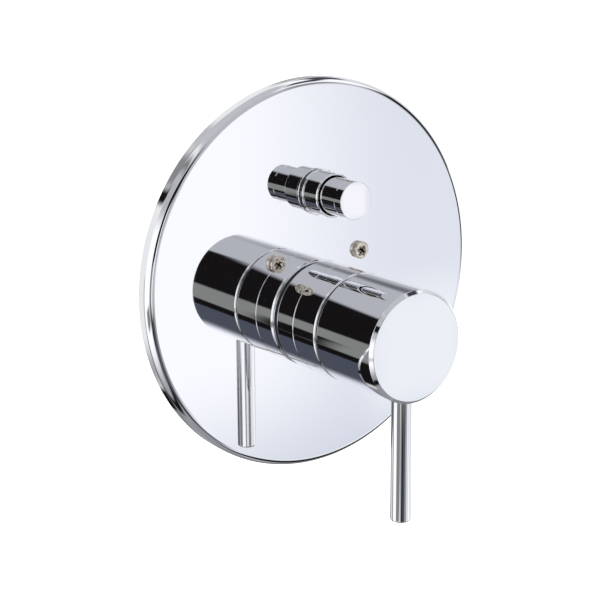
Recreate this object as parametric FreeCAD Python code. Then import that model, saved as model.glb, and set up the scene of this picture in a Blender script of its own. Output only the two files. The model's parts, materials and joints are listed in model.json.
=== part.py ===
import FreeCAD, Part
import math
import os
from FreeCAD import Vector

# Concealed shower mixer with a pull-out diverter: round wall plate, turned handle with a straight
# lever pin, diverter knob above it, and the brass body that sits in the wall behind them.
# Sizes are in millimetres and angles in degrees. The finished wall is the plane y = 0, the user
# stands at minus y, +z is up, and the origin is the centre of the wall plate.

# Wall plate
PLATE_R = 85.0
PLATE_DEPTH = 7.36
PLATE_SHEET = 1.4
PLATE_EDGE_ROUND = 3.34
RIM_EDGE_ROUND = 0.3
GASKET_WIDTH = 4.0
GASKET_THICK = 2.6
PLATE_HOLE_CLEARANCE = 0.8

# Clearances between pieces, and small edge treatments
SLIP = 0.1
RUNNING = 0.05
FREE_GAP = 0.3
EDGE_BREAK = 0.4
CUT_OVERRUN = 1.0
HEX_SIDES = 6

# Handle axis and the parts that stand round it
HANDLE_Z = -16.86
HANDLE_LENGTH = 36.1
HANDLE_STANDOFF = 4.48
HANDLE_FRONT_ROUND = 1.32
HANDLE_REAR_ROUND = 0.8
HANDLE_WALL = 3.2
HANDLE_SOLID_FRONT = 17.0
HANDLE_CAVITY_ROUND = 1.0
HANDLE_HUB_R = 9.5
HANDLE_GROOVE = 1.0
SLEEVE_SEAL_THICK = 1.2
SLEEVE_SEAL_INSET = 1.0
SLEEVE_BASE_LENGTH = 12.3
SLEEVE_BASE_ROUND = 1.4
SLEEVE_SEAM_ROUND = 0.25
SLEEVE_FRONT_ROUND = 0.8
SLEEVE_WEB = 2.0
SLEEVE_WALL = 2.84

# Lever pin
LEVER_R = 4.33
LEVER_BEHIND_FRONT = 9.02
LEVER_TIP_Z = -93.71
LEVER_TIP_ROUND = 0.9
LEVER_SOCKET_DEPTH = 1.5
LEVER_STUB_R = 3.0
LEVER_STUB_LENGTH = 8.0
GRUB_R = 2.0
GRUB_BEHIND_FRONT = 25.0
GRUB_KEY_FLATS = 2.0
GRUB_KEY_DEPTH = 2.4
GRUB_ACCESS_R = 2.7

# Neck of the body that carries the sleeve
NECK_WALL = 1.9
NECK_FRONT_Y = -27.0
NECK_RING_WIRE_R = 0.6
NECK_RING_BEHIND_FRONT = (3.0, 13.0)

# Cartridge
CARTRIDGE_R = 17.5
CARTRIDGE_FRONT_Y = -16.0
CARTRIDGE_FLOOR_Y = 18.0
CARTRIDGE_BASE_LENGTH = 13.0
NUT_THREAD_STEP = 1.1
NUT_PROUD = 3.0
NUT_FLANGE_INSET = 1.0
NUT_SLOT_WIDTH = 4.0
NUT_SLOT_COUNT = 6
NOSE_R = 12.9
NOSE_PROUD = 5.4
CARTRIDGE_WALL = 2.5
STEM_END_FLOAT = 0.4
FIXED_DISC_THICK = 3.0
MOVING_DISC_THICK = 3.5
MOVING_DISC_GAP = 0.4
STEM_R = 5.0
STEM_FLATS = 8.0
STEM_IN_HANDLE = 21.0
STEM_FLANGE_R = 11.0
STEM_FLANGE_THICK = 3.5
DRIVE_PIN_R = 1.5
DRIVE_PIN_AT_R = 9.0
DRIVE_PIN_LENGTH = 1.4
STEM_RING_WIRE_R = 0.7
STEM_RING_BEHIND_NOSE = (6.0, 12.0)
HOUSING_RING_WIRE_R = 0.9
HOUSING_RING_Y = -8.0

# Ports of the ceramic discs, as angles seen from the front, from +x towards +z
DISC_CENTRE_HOLE_R = 3.5
DISC_PORT_INNER_R = 6.5
DISC_PORT_RIM = 2.1
COLD_PORT_ANGLES = (35.0, 85.0)
HOT_PORT_ANGLES = (95.0, 145.0)
DISC_POCKET_ANGLE = -10.0
DISC_POCKET_HALF_SPAN = 20.0
DISC_POCKET_DEPTH = 1.7

# Turning stop: a lug on the stem runs between two lugs on the cartridge's nose
HANDLE_TURN = 140.0
STOP_HUB_R = 8.6
STOP_LUG_R = 12.2
STOP_THICK = 3.0
STOP_LUG_SPAN = 22.0
STOP_LUG_REST_ANGLE = -90.0
STOP_ANGLE_GAP = 0.6
NOSE_LUG_HEIGHT = 2.6
NOSE_LUG_INNER_R = 9.4

# Pressure balance spool, crosswise in the cartridge base
BALANCE_BORE_R = 4.0
BALANCE_TOP_WALL = 4.5
BALANCE_BEHIND_FLOOR = 6.5
BALANCE_END_WALL = 0.47
BALANCE_TRAVEL = 1.5
BALANCE_END_GAP = 0.5
BALANCE_LAND = 2.0
BALANCE_STUB_LENGTH = 2.4
BALANCE_CORE_R = 2.4
BALANCE_STUB_R = 2.0
BALANCE_PLUG_LENGTH = 2.0

# Holes in the cartridge floor
INLET_HOLE_R = 4.0
INLET_HOLE_X = 8.5
INLET_HOLE_ABOVE_AXIS = 5.5
FLOOR_SEAL_WIDTH = 1.0
FLOOR_SEAL_THICK = 1.1

# Diverter above the handle
DIVERTER_Z = 36.79
KNOB_R = 8.0
KNOB_FRONT_Y = -33.39
KNOB_LENGTH = 22.5
KNOB_GROOVE_BEHIND_FRONT = 4.4
KNOB_GROOVE_WIDTH = 0.5
KNOB_GROOVE_DEPTH = 0.3
KNOB_FACE_ROUND = 0.2
KNOB_SKIRT_WALL = 1.5
KNOB_SKIRT_DEPTH = 6.0
KNOB_TRAVEL = 8.0
COLLAR_GAP = 0.6
COLLAR_WALL = 1.25
COLLAR_ROUND = 0.8
COLLAR_SEAL_THICK = 0.65
COLLAR_SEAL_INSET = 0.45
BONNET_NOSE_LENGTH = 3.1
BONNET_THREAD_R = 11.9
BONNET_THREAD_END_Y = 5.5
BONNET_FLATS_STEP = 0.6
BONNET_HEX_THICK = 2.5
BONNET_WALL = 3.5
BONNET_WASHER_THICK = 0.6
BONNET_WASHER_WIDTH = 2.0
BONNET_PLATE_GAP = 0.46
SPOOL_STEM_R = 3.0
SPOOL_STEM_IN_KNOB = 17.0
SPOOL_LAND_LENGTH = 4.0
SPOOL_CORE_R = 4.0
SPOOL_FRONT_LAND_Y = 15.5
SPOOL_REAR_LAND_Y = 36.0
SPOOL_RING_WIRE_R = 0.85
SPRING_WIRE_R = 0.5
SPRING_MEAN_R = 4.6
SPRING_TURNS = 7
SPRING_POCKET_R = 6.2

# Brass body
CHAMBER_STEP = 6.4
CHAMBER_FRONT_Y = 0.0
BACK_WALL = 4.0
DIVERTER_WALL = 3.5
DIVERTER_BORE_R = 8.0
DIVERTER_GROOVE_DEPTH = 3.0
SHOWER_GROOVE_Y = (8.0, 14.0)
MIXED_GROOVE_Y = (20.5, 27.5)
TUB_GROOVE_Y = (32.5, 38.5)
PORT_Y = 25.0
PORT_WALL = 3.2
PORT_FLATS_WALL = 3.7
PORT_COLLAR_LENGTH = 11.0
PORT_THREAD_R = 9.3
PORT_THREAD_LENGTH = 12.5
PORT_MOUTH_CHAMFER = 0.8
INLET_END_X = 47.0
SHOWER_FLOOR_WALL = 3.21
TUB_REACH = 49.14
INLET_WATERWAY_R = 5.0
INLET_WATERWAY_END_X = 6.0
MIXED_WATERWAY_R = 3.5
MIXED_WATERWAY_Y = 24.0
TUB_WATERWAY_R = 4.5
SLANT_WATERWAY_R = 3.0
SLANT_WATERWAY_Y = (11.8, 19.3)
NECK_BRIDGE_R = 8.0
STRAINER_R = 7.1
STRAINER_LENGTH = 11.0
STRAINER_FLANGE = 1.6
STRAINER_FLANGE_WIDTH = 1.5
STRAINER_WALL = 0.8
STRAINER_SLOT_WIDTH = 1.2
STRAINER_SLOT_LENGTH = 6.0
STRAINER_SLOT_COUNT = 8
CAST_ROUND = 3.0

# Fixing lugs, plate screws and their bosses
LUG_SPACING_X = 66.0
LUG_SPACING_Z = 50.0
LUG_R = 6.5
LUG_THICK = 4.0
LUG_PROUD = 1.0
LUG_HOLE_R = 2.75
SCREW_X = 22.26
SCREW_Z = 8.49
SCREW_THREAD_R = 2.0
SCREW_HEAD_R = 3.8
SCREW_HEAD_HEIGHT = 2.2
SCREW_HEAD_ROUND = 0.6
SCREW_LENGTH = 22.0
SCREW_CROSS_WIDTH = 1.0
SCREW_CROSS_R = 1.9
SCREW_CROSS_DEPTH = 1.7
SCREW_CROSS_TURN = 38.0
BOSS_R = 5.0
BOSS_FRONT_Y = 3.0
BOSS_HOLE_DEPTH = 16.0
BOSS_WEB_THICK = 5.0
BOSS_WEB_SETBACK = 4.0

# Sizes that follow from the ones above
X_AXIS = Vector(1, 0, 0)
Y_AXIS = Vector(0, 1, 0)
Z_AXIS = Vector(0, 0, 1)
HANDLE_AXIS = Vector(0, 0, HANDLE_Z)
DIVERTER_AXIS = Vector(0, 0, DIVERTER_Z)

PLATE_FACE_Y = -PLATE_DEPTH
PLATE_INNER_R = PLATE_R - PLATE_SHEET
NUT_R = CARTRIDGE_R + NUT_THREAD_STEP
NECK_R = NUT_R + SLIP + NECK_WALL
NUT_FLANGE_R = NECK_R - NUT_FLANGE_INSET
SLEEVE_BORE_R = NECK_R + SLIP
HANDLE_R = SLEEVE_BORE_R + SLEEVE_WALL
NOSE_FRONT_Y = NECK_FRONT_Y - NOSE_PROUD
HANDLE_REAR_Y = NOSE_FRONT_Y - HANDLE_STANDOFF
HANDLE_FRONT_Y = HANDLE_REAR_Y - HANDLE_LENGTH
SLEEVE_FRONT_Y = HANDLE_REAR_Y + HANDLE_GROOVE
SLEEVE_BASE_REAR_Y = PLATE_FACE_Y - SLEEVE_SEAL_THICK
SLEEVE_SEAM_Y = SLEEVE_BASE_REAR_Y - SLEEVE_BASE_LENGTH
LEVER_Y = HANDLE_FRONT_Y + LEVER_BEHIND_FRONT
LEVER_SEAT_Z = HANDLE_Z - HANDLE_R + LEVER_SOCKET_DEPTH
GRUB_Y = HANDLE_FRONT_Y + GRUB_BEHIND_FRONT
CAVITY_END_Y = CARTRIDGE_FLOOR_Y - CARTRIDGE_BASE_LENGTH
FIXED_DISC_Y = CAVITY_END_Y - FIXED_DISC_THICK
MOVING_DISC_Y = FIXED_DISC_Y - MOVING_DISC_THICK
CAVITY_FRONT_Y = MOVING_DISC_Y - STEM_FLANGE_THICK - STEM_END_FLOAT
DISC_CAVITY_R = CARTRIDGE_R - CARTRIDGE_WALL
MOVING_DISC_R = DISC_CAVITY_R - MOVING_DISC_GAP
DISC_PORT_OUTER_R = MOVING_DISC_R - DISC_PORT_RIM
STEM_FRONT_Y = HANDLE_REAR_Y - STEM_IN_HANDLE
STOP_FRONT_Y = NOSE_FRONT_Y - SLIP - STOP_THICK
BALANCE_Y = CARTRIDGE_FLOOR_Y - BALANCE_BEHIND_FLOOR
BALANCE_ABOVE_AXIS = CARTRIDGE_R - BALANCE_TOP_WALL - BALANCE_BORE_R
BALANCE_AXIS = Vector(0, BALANCE_Y, HANDLE_Z + BALANCE_ABOVE_AXIS)
BALANCE_BORE_HALF = math.sqrt(
    (CARTRIDGE_R - BALANCE_END_WALL) ** 2 - (BALANCE_ABOVE_AXIS + BALANCE_BORE_R) ** 2
)
BALANCE_SPOOL_HALF = BALANCE_BORE_HALF - BALANCE_TRAVEL - BALANCE_END_GAP
KNOB_REAR_Y = KNOB_FRONT_Y + KNOB_LENGTH
COLLAR_FRONT_Y = KNOB_REAR_Y - KNOB_TRAVEL
COLLAR_REAR_Y = PLATE_FACE_Y - COLLAR_SEAL_THICK
COLLAR_BORE_R = KNOB_R + COLLAR_GAP
COLLAR_R = COLLAR_BORE_R + COLLAR_WALL
BONNET_NOSE_R = COLLAR_BORE_R - SLIP
BONNET_FLATS = 2 * (BONNET_THREAD_R + BONNET_FLATS_STEP)
BONNET_WASHER_R = BONNET_THREAD_R + SLIP + BONNET_WASHER_WIDTH
BONNET_HEX_FRONT_Y = PLATE_FACE_Y + PLATE_SHEET + BONNET_PLATE_GAP
DIVERTER_BOSS_FRONT_Y = BONNET_HEX_FRONT_Y + BONNET_HEX_THICK + BONNET_WASHER_THICK
DIVERTER_CHAMBER_R = BONNET_THREAD_R + SLIP + DIVERTER_WALL
DIVERTER_GROOVE_R = DIVERTER_BORE_R + DIVERTER_GROOVE_DEPTH
SPOOL_LAND_R = DIVERTER_BORE_R - SLIP
BONNET_REST_Y = DIVERTER_BOSS_FRONT_Y - BONNET_WASHER_THICK
BONNET_NOSE_Y = PLATE_FACE_Y - BONNET_NOSE_LENGTH
SPRING_SEAT_Y = BONNET_NOSE_Y + BONNET_WALL
SPOOL_FRONT_Y = KNOB_REAR_Y - SPOOL_STEM_IN_KNOB
SPOOL_END_Y = SPOOL_REAR_LAND_Y + SPOOL_LAND_LENGTH
BODY_BACK_Y = SPOOL_END_Y + BACK_WALL
LUG_BACK_Y = BODY_BACK_Y + LUG_PROUD
CHAMBER_R = NECK_R + CHAMBER_STEP
SHOWER_FLOOR_Z = DIVERTER_Z + DIVERTER_GROOVE_R + SHOWER_FLOOR_WALL
SHOWER_END_Z = SHOWER_FLOOR_Z + PORT_THREAD_LENGTH
TUB_END_Z = HANDLE_Z - TUB_REACH
TUB_WATERWAY_Y = sum(TUB_GROOVE_Y) / 2
STRAINER_POCKET_R = STRAINER_R + SLIP
STRAINER_CUP_R = STRAINER_R - STRAINER_FLANGE_WIDTH
STRAINER_OUTER_X = INLET_END_X - PORT_THREAD_LENGTH
STRAINER_INNER_X = STRAINER_OUTER_X - STRAINER_LENGTH
PORT_R = PORT_THREAD_R + PORT_WALL
PORT_FLATS = 2 * (PORT_THREAD_R + PORT_FLATS_WALL)
PORT_HEX_R = PORT_FLATS / 2 / math.cos(math.pi / HEX_SIDES)
HEX_FLAT_TURN = 180.0 / HEX_SIDES


def profile_face(corners):
    """Make a face from (radius, along, rounding) corners, with tangent arcs at rounded corners."""
    points = [Vector(r, 0, a) for r, a, _ in corners]
    starts, ends, arcs = [], [], []
    for i, (_, _, rounding) in enumerate(corners):
        here = points[i]
        back = (points[i - 1] - here).normalize()
        ahead = (points[(i + 1) % len(points)] - here).normalize()
        if rounding == 0:
            starts.append(here)
            ends.append(here)
            arcs.append(None)
            continue
        half = back.getAngle(ahead) / 2
        middle = (back + ahead).normalize()
        cut = rounding / math.tan(half)
        centre = here + middle * (rounding / math.sin(half))
        starts.append(here + back * cut)
        ends.append(here + ahead * cut)
        arcs.append(centre - middle * rounding)
    edges = []
    for i in range(len(points)):
        if arcs[i] is not None:
            edges.append(Part.Arc(starts[i], arcs[i], ends[i]).toShape())
        following = starts[(i + 1) % len(points)]
        if ends[i].distanceToPoint(following) > Part.Precision.confusion():
            edges.append(Part.makeLine(ends[i], following))
    return Part.Face(Part.Wire(edges))


def put(shape, origin, direction):
    """Move a shape built about the z axis so that its axis runs along direction through origin."""
    placement = FreeCAD.Placement(origin, FreeCAD.Rotation(Z_AXIS, direction))
    return shape.transformed(placement.toMatrix(), copy=True)


def turned(corners, origin, direction=Y_AXIS):
    """Turn a profile about an axis, as on a lathe."""
    solid = profile_face(corners).revolve(Vector(0, 0, 0), Z_AXIS, 360)
    return put(solid, origin, direction)


def rod(radius, start, end, origin, direction=Y_AXIS):
    """Make a plain cylinder between two places along an axis."""
    return Part.makeCylinder(radius, end - start, origin + direction * start, direction)


def tube(outer, inner, start, end, origin, direction=Y_AXIS):
    """Make a plain ring between two places along an axis."""
    return rod(outer, start, end, origin, direction).cut(rod(inner, start, end, origin, direction))


def strut(radius, start, end):
    """Make a cylinder from one point to another."""
    return Part.makeCylinder(radius, start.distanceToPoint(end), start, end - start)


def hexagon(across_flats, start, end, origin, direction=Y_AXIS, turn=0.0):
    """Make a hexagonal bar between two places along an axis."""
    corner_r = across_flats / 2 / math.cos(math.pi / HEX_SIDES)
    angles = [math.radians(turn + 360.0 * i / HEX_SIDES) for i in range(HEX_SIDES + 1)]
    wire = Part.makePolygon([Vector(corner_r * math.cos(a), corner_r * math.sin(a), start) for a in angles])
    bar = Part.Face(wire).extrude(Vector(0, 0, end - start))
    return put(bar, origin, direction)


def o_ring(inner_r, wire_r, y, origin):
    """Make a round-section sealing ring, given the radius of its hole."""
    return Part.makeTorus(inner_r + wire_r, wire_r, origin + Y_AXIS * y, Y_AXIS)


def around(radius, angle, y, origin=HANDLE_AXIS):
    """Give a point at an angle round an axis along y, seen from the front."""
    a = math.radians(angle)
    return origin + Vector(radius * math.cos(a), y, radius * math.sin(a))


def sector(inner, outer, from_angle, to_angle, start, end):
    """Make a slice of a ring round the handle's axis."""
    middle = (from_angle + to_angle) / 2
    outer_arc = Part.Arc(
        around(outer, from_angle, start), around(outer, middle, start), around(outer, to_angle, start)
    ).toShape()
    edges = [outer_arc]
    if inner > 0:
        inner_arc = Part.Arc(
            around(inner, to_angle, start), around(inner, middle, start), around(inner, from_angle, start)
        ).toShape()
        edges.append(Part.makeLine(around(outer, to_angle, start), around(inner, to_angle, start)))
        edges.append(inner_arc)
        edges.append(Part.makeLine(around(inner, from_angle, start), around(outer, from_angle, start)))
    else:
        edges.append(Part.makeLine(around(outer, to_angle, start), around(0, 0, start)))
        edges.append(Part.makeLine(around(0, 0, start), around(outer, from_angle, start)))
    return Part.Face(Part.Wire(edges)).extrude(Y_AXIS * (end - start))


def kidney(inner, outer, angles, start, end):
    """Make a curved slot with round ends about the handle's axis."""
    middle_r = (inner + outer) / 2
    cap_r = (outer - inner) / 2
    cap_angle = math.degrees(cap_r / middle_r)
    first = angles[0] + cap_angle
    last = angles[1] - cap_angle
    slot = sector(inner, outer, first, last, start, end)
    for angle in (first, last):
        at = around(middle_r, angle, 0)
        slot = slot.fuse(rod(cap_r, start, end, at))
    return slot.removeSplitter()


def double_flat(radius, flats, start, end, origin):
    """Make a rod with two flats, above and below, as on a drive spindle."""
    bar = rod(radius, start, end, origin)
    slab = Part.makeBox(2 * radius, end - start, flats, origin + Vector(-radius, start, -flats / 2))
    return bar.common(slab)


def escutcheon_plate():
    plate = turned(
        [
            (0, PLATE_FACE_Y, 0),
            (PLATE_R, PLATE_FACE_Y, PLATE_EDGE_ROUND),
            (PLATE_R, 0, RIM_EDGE_ROUND),
            (PLATE_INNER_R, 0, RIM_EDGE_ROUND),
            (PLATE_INNER_R, PLATE_FACE_Y + PLATE_SHEET, PLATE_EDGE_ROUND - PLATE_SHEET),
            (0, PLATE_FACE_Y + PLATE_SHEET, 0),
        ],
        Vector(0, 0, 0),
    )
    plate = plate.cut(rod(NECK_R + PLATE_HOLE_CLEARANCE, PLATE_FACE_Y, 0, HANDLE_AXIS))
    plate = plate.cut(rod(BONNET_NOSE_R + FREE_GAP, PLATE_FACE_Y, 0, DIVERTER_AXIS))
    for side in (-1, 1):
        at = Vector(side * SCREW_X, 0, SCREW_Z)
        plate = plate.cut(rod(SCREW_THREAD_R + FREE_GAP, PLATE_FACE_Y, 0, at))
    return plate


def plate_gasket():
    return tube(PLATE_INNER_R - SLIP, PLATE_INNER_R - GASKET_WIDTH, -GASKET_THICK, 0, Vector(0, 0, 0))


def cross_recess(at):
    """Make the tapered cross that a screwdriver drives."""
    half = SCREW_CROSS_WIDTH / 2
    span = 2 * SCREW_CROSS_R
    wing = Part.makeBox(span, SCREW_CROSS_DEPTH, SCREW_CROSS_WIDTH, Vector(-SCREW_CROSS_R, 0, -half))
    cross = wing.fuse(wing.rotated(Vector(0, 0, 0), Y_AXIS, 90))
    taper = Part.makeCone(SCREW_CROSS_R, half, SCREW_CROSS_DEPTH, Vector(0, 0, 0), Y_AXIS)
    recess = cross.common(taper).rotated(Vector(0, 0, 0), Y_AXIS, SCREW_CROSS_TURN)
    return recess.translated(at)


def plate_screws():
    screws = []
    for side in (-1, 1):
        at = Vector(side * SCREW_X, PLATE_FACE_Y, SCREW_Z)
        screw = turned(
            [
                (0, -SCREW_HEAD_HEIGHT, 0),
                (SCREW_HEAD_R, -SCREW_HEAD_HEIGHT, SCREW_HEAD_ROUND),
                (SCREW_HEAD_R, 0, 0),
                (SCREW_THREAD_R - RUNNING, 0, 0),
                (SCREW_THREAD_R - RUNNING, SCREW_LENGTH, SCREW_HEAD_ROUND),
                (0, SCREW_LENGTH, 0),
            ],
            at,
        )
        screws.append(screw.cut(cross_recess(at - Y_AXIS * SCREW_HEAD_HEIGHT)))
    return Part.makeCompound(screws)


def sleeve_seal():
    return tube(HANDLE_R - SLEEVE_SEAL_INSET, SLEEVE_BORE_R, SLEEVE_BASE_REAR_Y, PLATE_FACE_Y, HANDLE_AXIS)


def sleeve_base():
    return turned(
        [
            (SLEEVE_BORE_R, SLEEVE_BASE_REAR_Y, 0),
            (HANDLE_R, SLEEVE_BASE_REAR_Y, SLEEVE_BASE_ROUND),
            (HANDLE_R, SLEEVE_SEAM_Y, SLEEVE_SEAM_ROUND),
            (SLEEVE_BORE_R, SLEEVE_SEAM_Y, 0),
        ],
        HANDLE_AXIS,
    )


def sleeve_collar():
    rear = SLEEVE_SEAM_Y - SLIP
    return turned(
        [
            (SLEEVE_BORE_R, rear, 0),
            (HANDLE_R, rear, SLEEVE_SEAM_ROUND),
            (HANDLE_R, SLEEVE_FRONT_Y, SLEEVE_FRONT_ROUND),
            (NOSE_R + SLEEVE_WEB, SLEEVE_FRONT_Y, 0),
            (NOSE_R + SLEEVE_WEB, SLEEVE_FRONT_Y + SLEEVE_WEB, 0),
            (SLEEVE_BORE_R, SLEEVE_FRONT_Y + SLEEVE_WEB, 0),
        ],
        HANDLE_AXIS,
    )


def neck_ring_inner_r():
    return SLEEVE_BORE_R - RUNNING / 2 - 2 * NECK_RING_WIRE_R


def neck_o_ring(behind_front):
    return o_ring(neck_ring_inner_r(), NECK_RING_WIRE_R, NECK_FRONT_Y + behind_front, HANDLE_AXIS)


def handle_body():
    cavity_y = HANDLE_FRONT_Y + HANDLE_SOLID_FRONT
    body = turned(
        [
            (0, HANDLE_FRONT_Y, 0),
            (HANDLE_R, HANDLE_FRONT_Y, HANDLE_FRONT_ROUND),
            (HANDLE_R, HANDLE_REAR_Y, HANDLE_REAR_ROUND),
            (HANDLE_R - HANDLE_WALL, HANDLE_REAR_Y, 0),
            (HANDLE_R - HANDLE_WALL, cavity_y, HANDLE_CAVITY_ROUND),
            (HANDLE_HUB_R, cavity_y, HANDLE_CAVITY_ROUND),
            (HANDLE_HUB_R, HANDLE_REAR_Y, EDGE_BREAK),
            (0, HANDLE_REAR_Y, 0),
        ],
        HANDLE_AXIS,
    )
    flats = STEM_FLATS + SLIP
    bore_r = STEM_R + RUNNING
    body = body.cut(double_flat(bore_r, flats, STEM_FRONT_Y - FREE_GAP, HANDLE_REAR_Y, HANDLE_AXIS))
    down = Vector(0, 0, -1)
    lever_axis = Vector(0, LEVER_Y, HANDLE_Z)
    seat = HANDLE_Z - LEVER_SEAT_Z
    body = body.cut(rod(LEVER_R + RUNNING, seat, HANDLE_R, lever_axis, down))
    body = body.cut(rod(LEVER_STUB_R + RUNNING, seat - LEVER_STUB_LENGTH - FREE_GAP, seat, lever_axis, down))
    grub_axis = Vector(0, GRUB_Y, HANDLE_Z)
    body = body.cut(rod(GRUB_R + RUNNING, 0, HANDLE_HUB_R, grub_axis, down))
    return body.cut(rod(GRUB_ACCESS_R, HANDLE_HUB_R, HANDLE_R, grub_axis, down))


def handle_lever():
    stub_top = LEVER_SEAT_Z + LEVER_STUB_LENGTH
    return turned(
        [
            (0, LEVER_TIP_Z, 0),
            (LEVER_R, LEVER_TIP_Z, LEVER_TIP_ROUND),
            (LEVER_R, LEVER_SEAT_Z, 0),
            (LEVER_STUB_R, LEVER_SEAT_Z, 0),
            (LEVER_STUB_R, stub_top, EDGE_BREAK),
            (0, stub_top, 0),
        ],
        Vector(0, LEVER_Y, 0),
        Z_AXIS,
    )


def handle_grub_screw():
    down = Vector(0, 0, -1)
    at = Vector(0, GRUB_Y, HANDLE_Z)
    screw = rod(GRUB_R, STEM_FLATS / 2, HANDLE_HUB_R, at, down)
    return screw.cut(hexagon(GRUB_KEY_FLATS, HANDLE_HUB_R - GRUB_KEY_DEPTH, HANDLE_HUB_R, at, down))


def cartridge_nut():
    front = NECK_FRONT_Y - NUT_PROUD
    nut = turned(
        [
            (NOSE_R + FREE_GAP, front, 0),
            (NUT_FLANGE_R, front, EDGE_BREAK),
            (NUT_FLANGE_R, NECK_FRONT_Y, 0),
            (NUT_R, NECK_FRONT_Y, 0),
            (NUT_R, CARTRIDGE_FRONT_Y, EDGE_BREAK),
            (NOSE_R + FREE_GAP, CARTRIDGE_FRONT_Y, 0),
        ],
        HANDLE_AXIS,
    )
    slot_depth = NUT_FLANGE_R - NUT_R + CUT_OVERRUN
    for i in range(NUT_SLOT_COUNT):
        slot = Part.makeBox(slot_depth, NUT_PROUD, NUT_SLOT_WIDTH, Vector(0, 0, -NUT_SLOT_WIDTH / 2))
        slot.translate(Vector(NUT_FLANGE_R - slot_depth, front, 0))
        slot.rotate(Vector(0, 0, 0), Y_AXIS, 360.0 * i / NUT_SLOT_COUNT)
        nut = nut.cut(slot.translated(HANDLE_AXIS))
    return nut


def housing_ring_inner_r():
    return CARTRIDGE_R + RUNNING - 2 * HOUSING_RING_WIRE_R


def cartridge_housing():
    housing = turned(
        [
            (STEM_R + RUNNING, NOSE_FRONT_Y, 0),
            (NOSE_R, NOSE_FRONT_Y, EDGE_BREAK),
            (NOSE_R, CARTRIDGE_FRONT_Y, 0),
            (CARTRIDGE_R, CARTRIDGE_FRONT_Y, EDGE_BREAK),
            (CARTRIDGE_R, CAVITY_END_Y, 0),
            (DISC_CAVITY_R, CAVITY_END_Y, 0),
            (DISC_CAVITY_R, CAVITY_FRONT_Y, 0),
            (STEM_R + RUNNING, CAVITY_FRONT_Y, 0),
        ],
        HANDLE_AXIS,
    )
    ring_front = HOUSING_RING_Y - HOUSING_RING_WIRE_R
    ring_rear = HOUSING_RING_Y + HOUSING_RING_WIRE_R
    outer = CARTRIDGE_R + CUT_OVERRUN
    housing = housing.cut(tube(outer, housing_ring_inner_r(), ring_front, ring_rear, HANDLE_AXIS))
    lug_front = NOSE_FRONT_Y - NOSE_LUG_HEIGHT
    half = STOP_LUG_SPAN / 2 + STOP_ANGLE_GAP
    closed_stop = STOP_LUG_REST_ANGLE - half
    open_stop = STOP_LUG_REST_ANGLE + HANDLE_TURN + half
    lug_end = NOSE_FRONT_Y + SLIP
    lug_r = NOSE_R - EDGE_BREAK
    housing = housing.fuse(
        sector(NOSE_LUG_INNER_R, lug_r, closed_stop - STOP_LUG_SPAN, closed_stop, lug_front, lug_end)
    )
    housing = housing.fuse(
        sector(NOSE_LUG_INNER_R, lug_r, open_stop, open_stop + STOP_LUG_SPAN, lug_front, lug_end)
    )
    return housing


def housing_o_ring():
    return o_ring(housing_ring_inner_r(), HOUSING_RING_WIRE_R, HOUSING_RING_Y, HANDLE_AXIS)


def stem_ring_inner_r():
    return STEM_R + RUNNING / 2 - 2 * STEM_RING_WIRE_R


def cartridge_stem():
    flange_rear = MOVING_DISC_Y
    flange_front = flange_rear - STEM_FLANGE_THICK
    stem = rod(STEM_R, NOSE_FRONT_Y, flange_front, HANDLE_AXIS)
    for behind in STEM_RING_BEHIND_NOSE:
        y = NOSE_FRONT_Y + behind
        outer = STEM_R + CUT_OVERRUN
        ring = tube(outer, stem_ring_inner_r(), y - STEM_RING_WIRE_R, y + STEM_RING_WIRE_R, HANDLE_AXIS)
        stem = stem.cut(ring)
    stem = stem.fuse(double_flat(STEM_R, STEM_FLATS, STEM_FRONT_Y, NOSE_FRONT_Y, HANDLE_AXIS))
    stem = stem.fuse(rod(STEM_FLANGE_R, flange_front, flange_rear, HANDLE_AXIS))
    for side in (-1, 1):
        at = around(DRIVE_PIN_AT_R, DISC_POCKET_ANGLE + side * 90, 0)
        stem = stem.fuse(rod(DRIVE_PIN_R, flange_rear, flange_rear + DRIVE_PIN_LENGTH, at))
    return stem.removeSplitter()


def stem_o_ring(behind_nose):
    return o_ring(stem_ring_inner_r(), STEM_RING_WIRE_R, NOSE_FRONT_Y + behind_nose, HANDLE_AXIS)


def limit_stop():
    rear = STOP_FRONT_Y + STOP_THICK
    half = STOP_LUG_SPAN / 2
    angle = STOP_LUG_REST_ANGLE
    stop = rod(STOP_HUB_R, STOP_FRONT_Y, rear, HANDLE_AXIS)
    stop = stop.fuse(sector(0, STOP_LUG_R, angle - half, angle + half, STOP_FRONT_Y, rear))
    hole = double_flat(STEM_R + RUNNING, STEM_FLATS + SLIP, STOP_FRONT_Y, rear, HANDLE_AXIS)
    return stop.removeSplitter().cut(hole)


def moving_disc():
    disc = rod(MOVING_DISC_R, MOVING_DISC_Y, FIXED_DISC_Y, HANDLE_AXIS)
    pocket_y = FIXED_DISC_Y - DISC_POCKET_DEPTH
    first = DISC_POCKET_ANGLE - DISC_POCKET_HALF_SPAN
    last = DISC_POCKET_ANGLE + DISC_POCKET_HALF_SPAN
    pocket = sector(0, DISC_PORT_OUTER_R, first, last, pocket_y, FIXED_DISC_Y)
    pocket = pocket.fuse(rod(DISC_CENTRE_HOLE_R + CUT_OVERRUN, pocket_y, FIXED_DISC_Y, HANDLE_AXIS))
    disc = disc.cut(pocket.removeSplitter())
    for side in (-1, 1):
        at = around(DRIVE_PIN_AT_R, DISC_POCKET_ANGLE + side * 90, 0)
        depth = DRIVE_PIN_LENGTH + SLIP
        disc = disc.cut(rod(DRIVE_PIN_R + SLIP, MOVING_DISC_Y, MOVING_DISC_Y + depth, at))
    return disc


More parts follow.
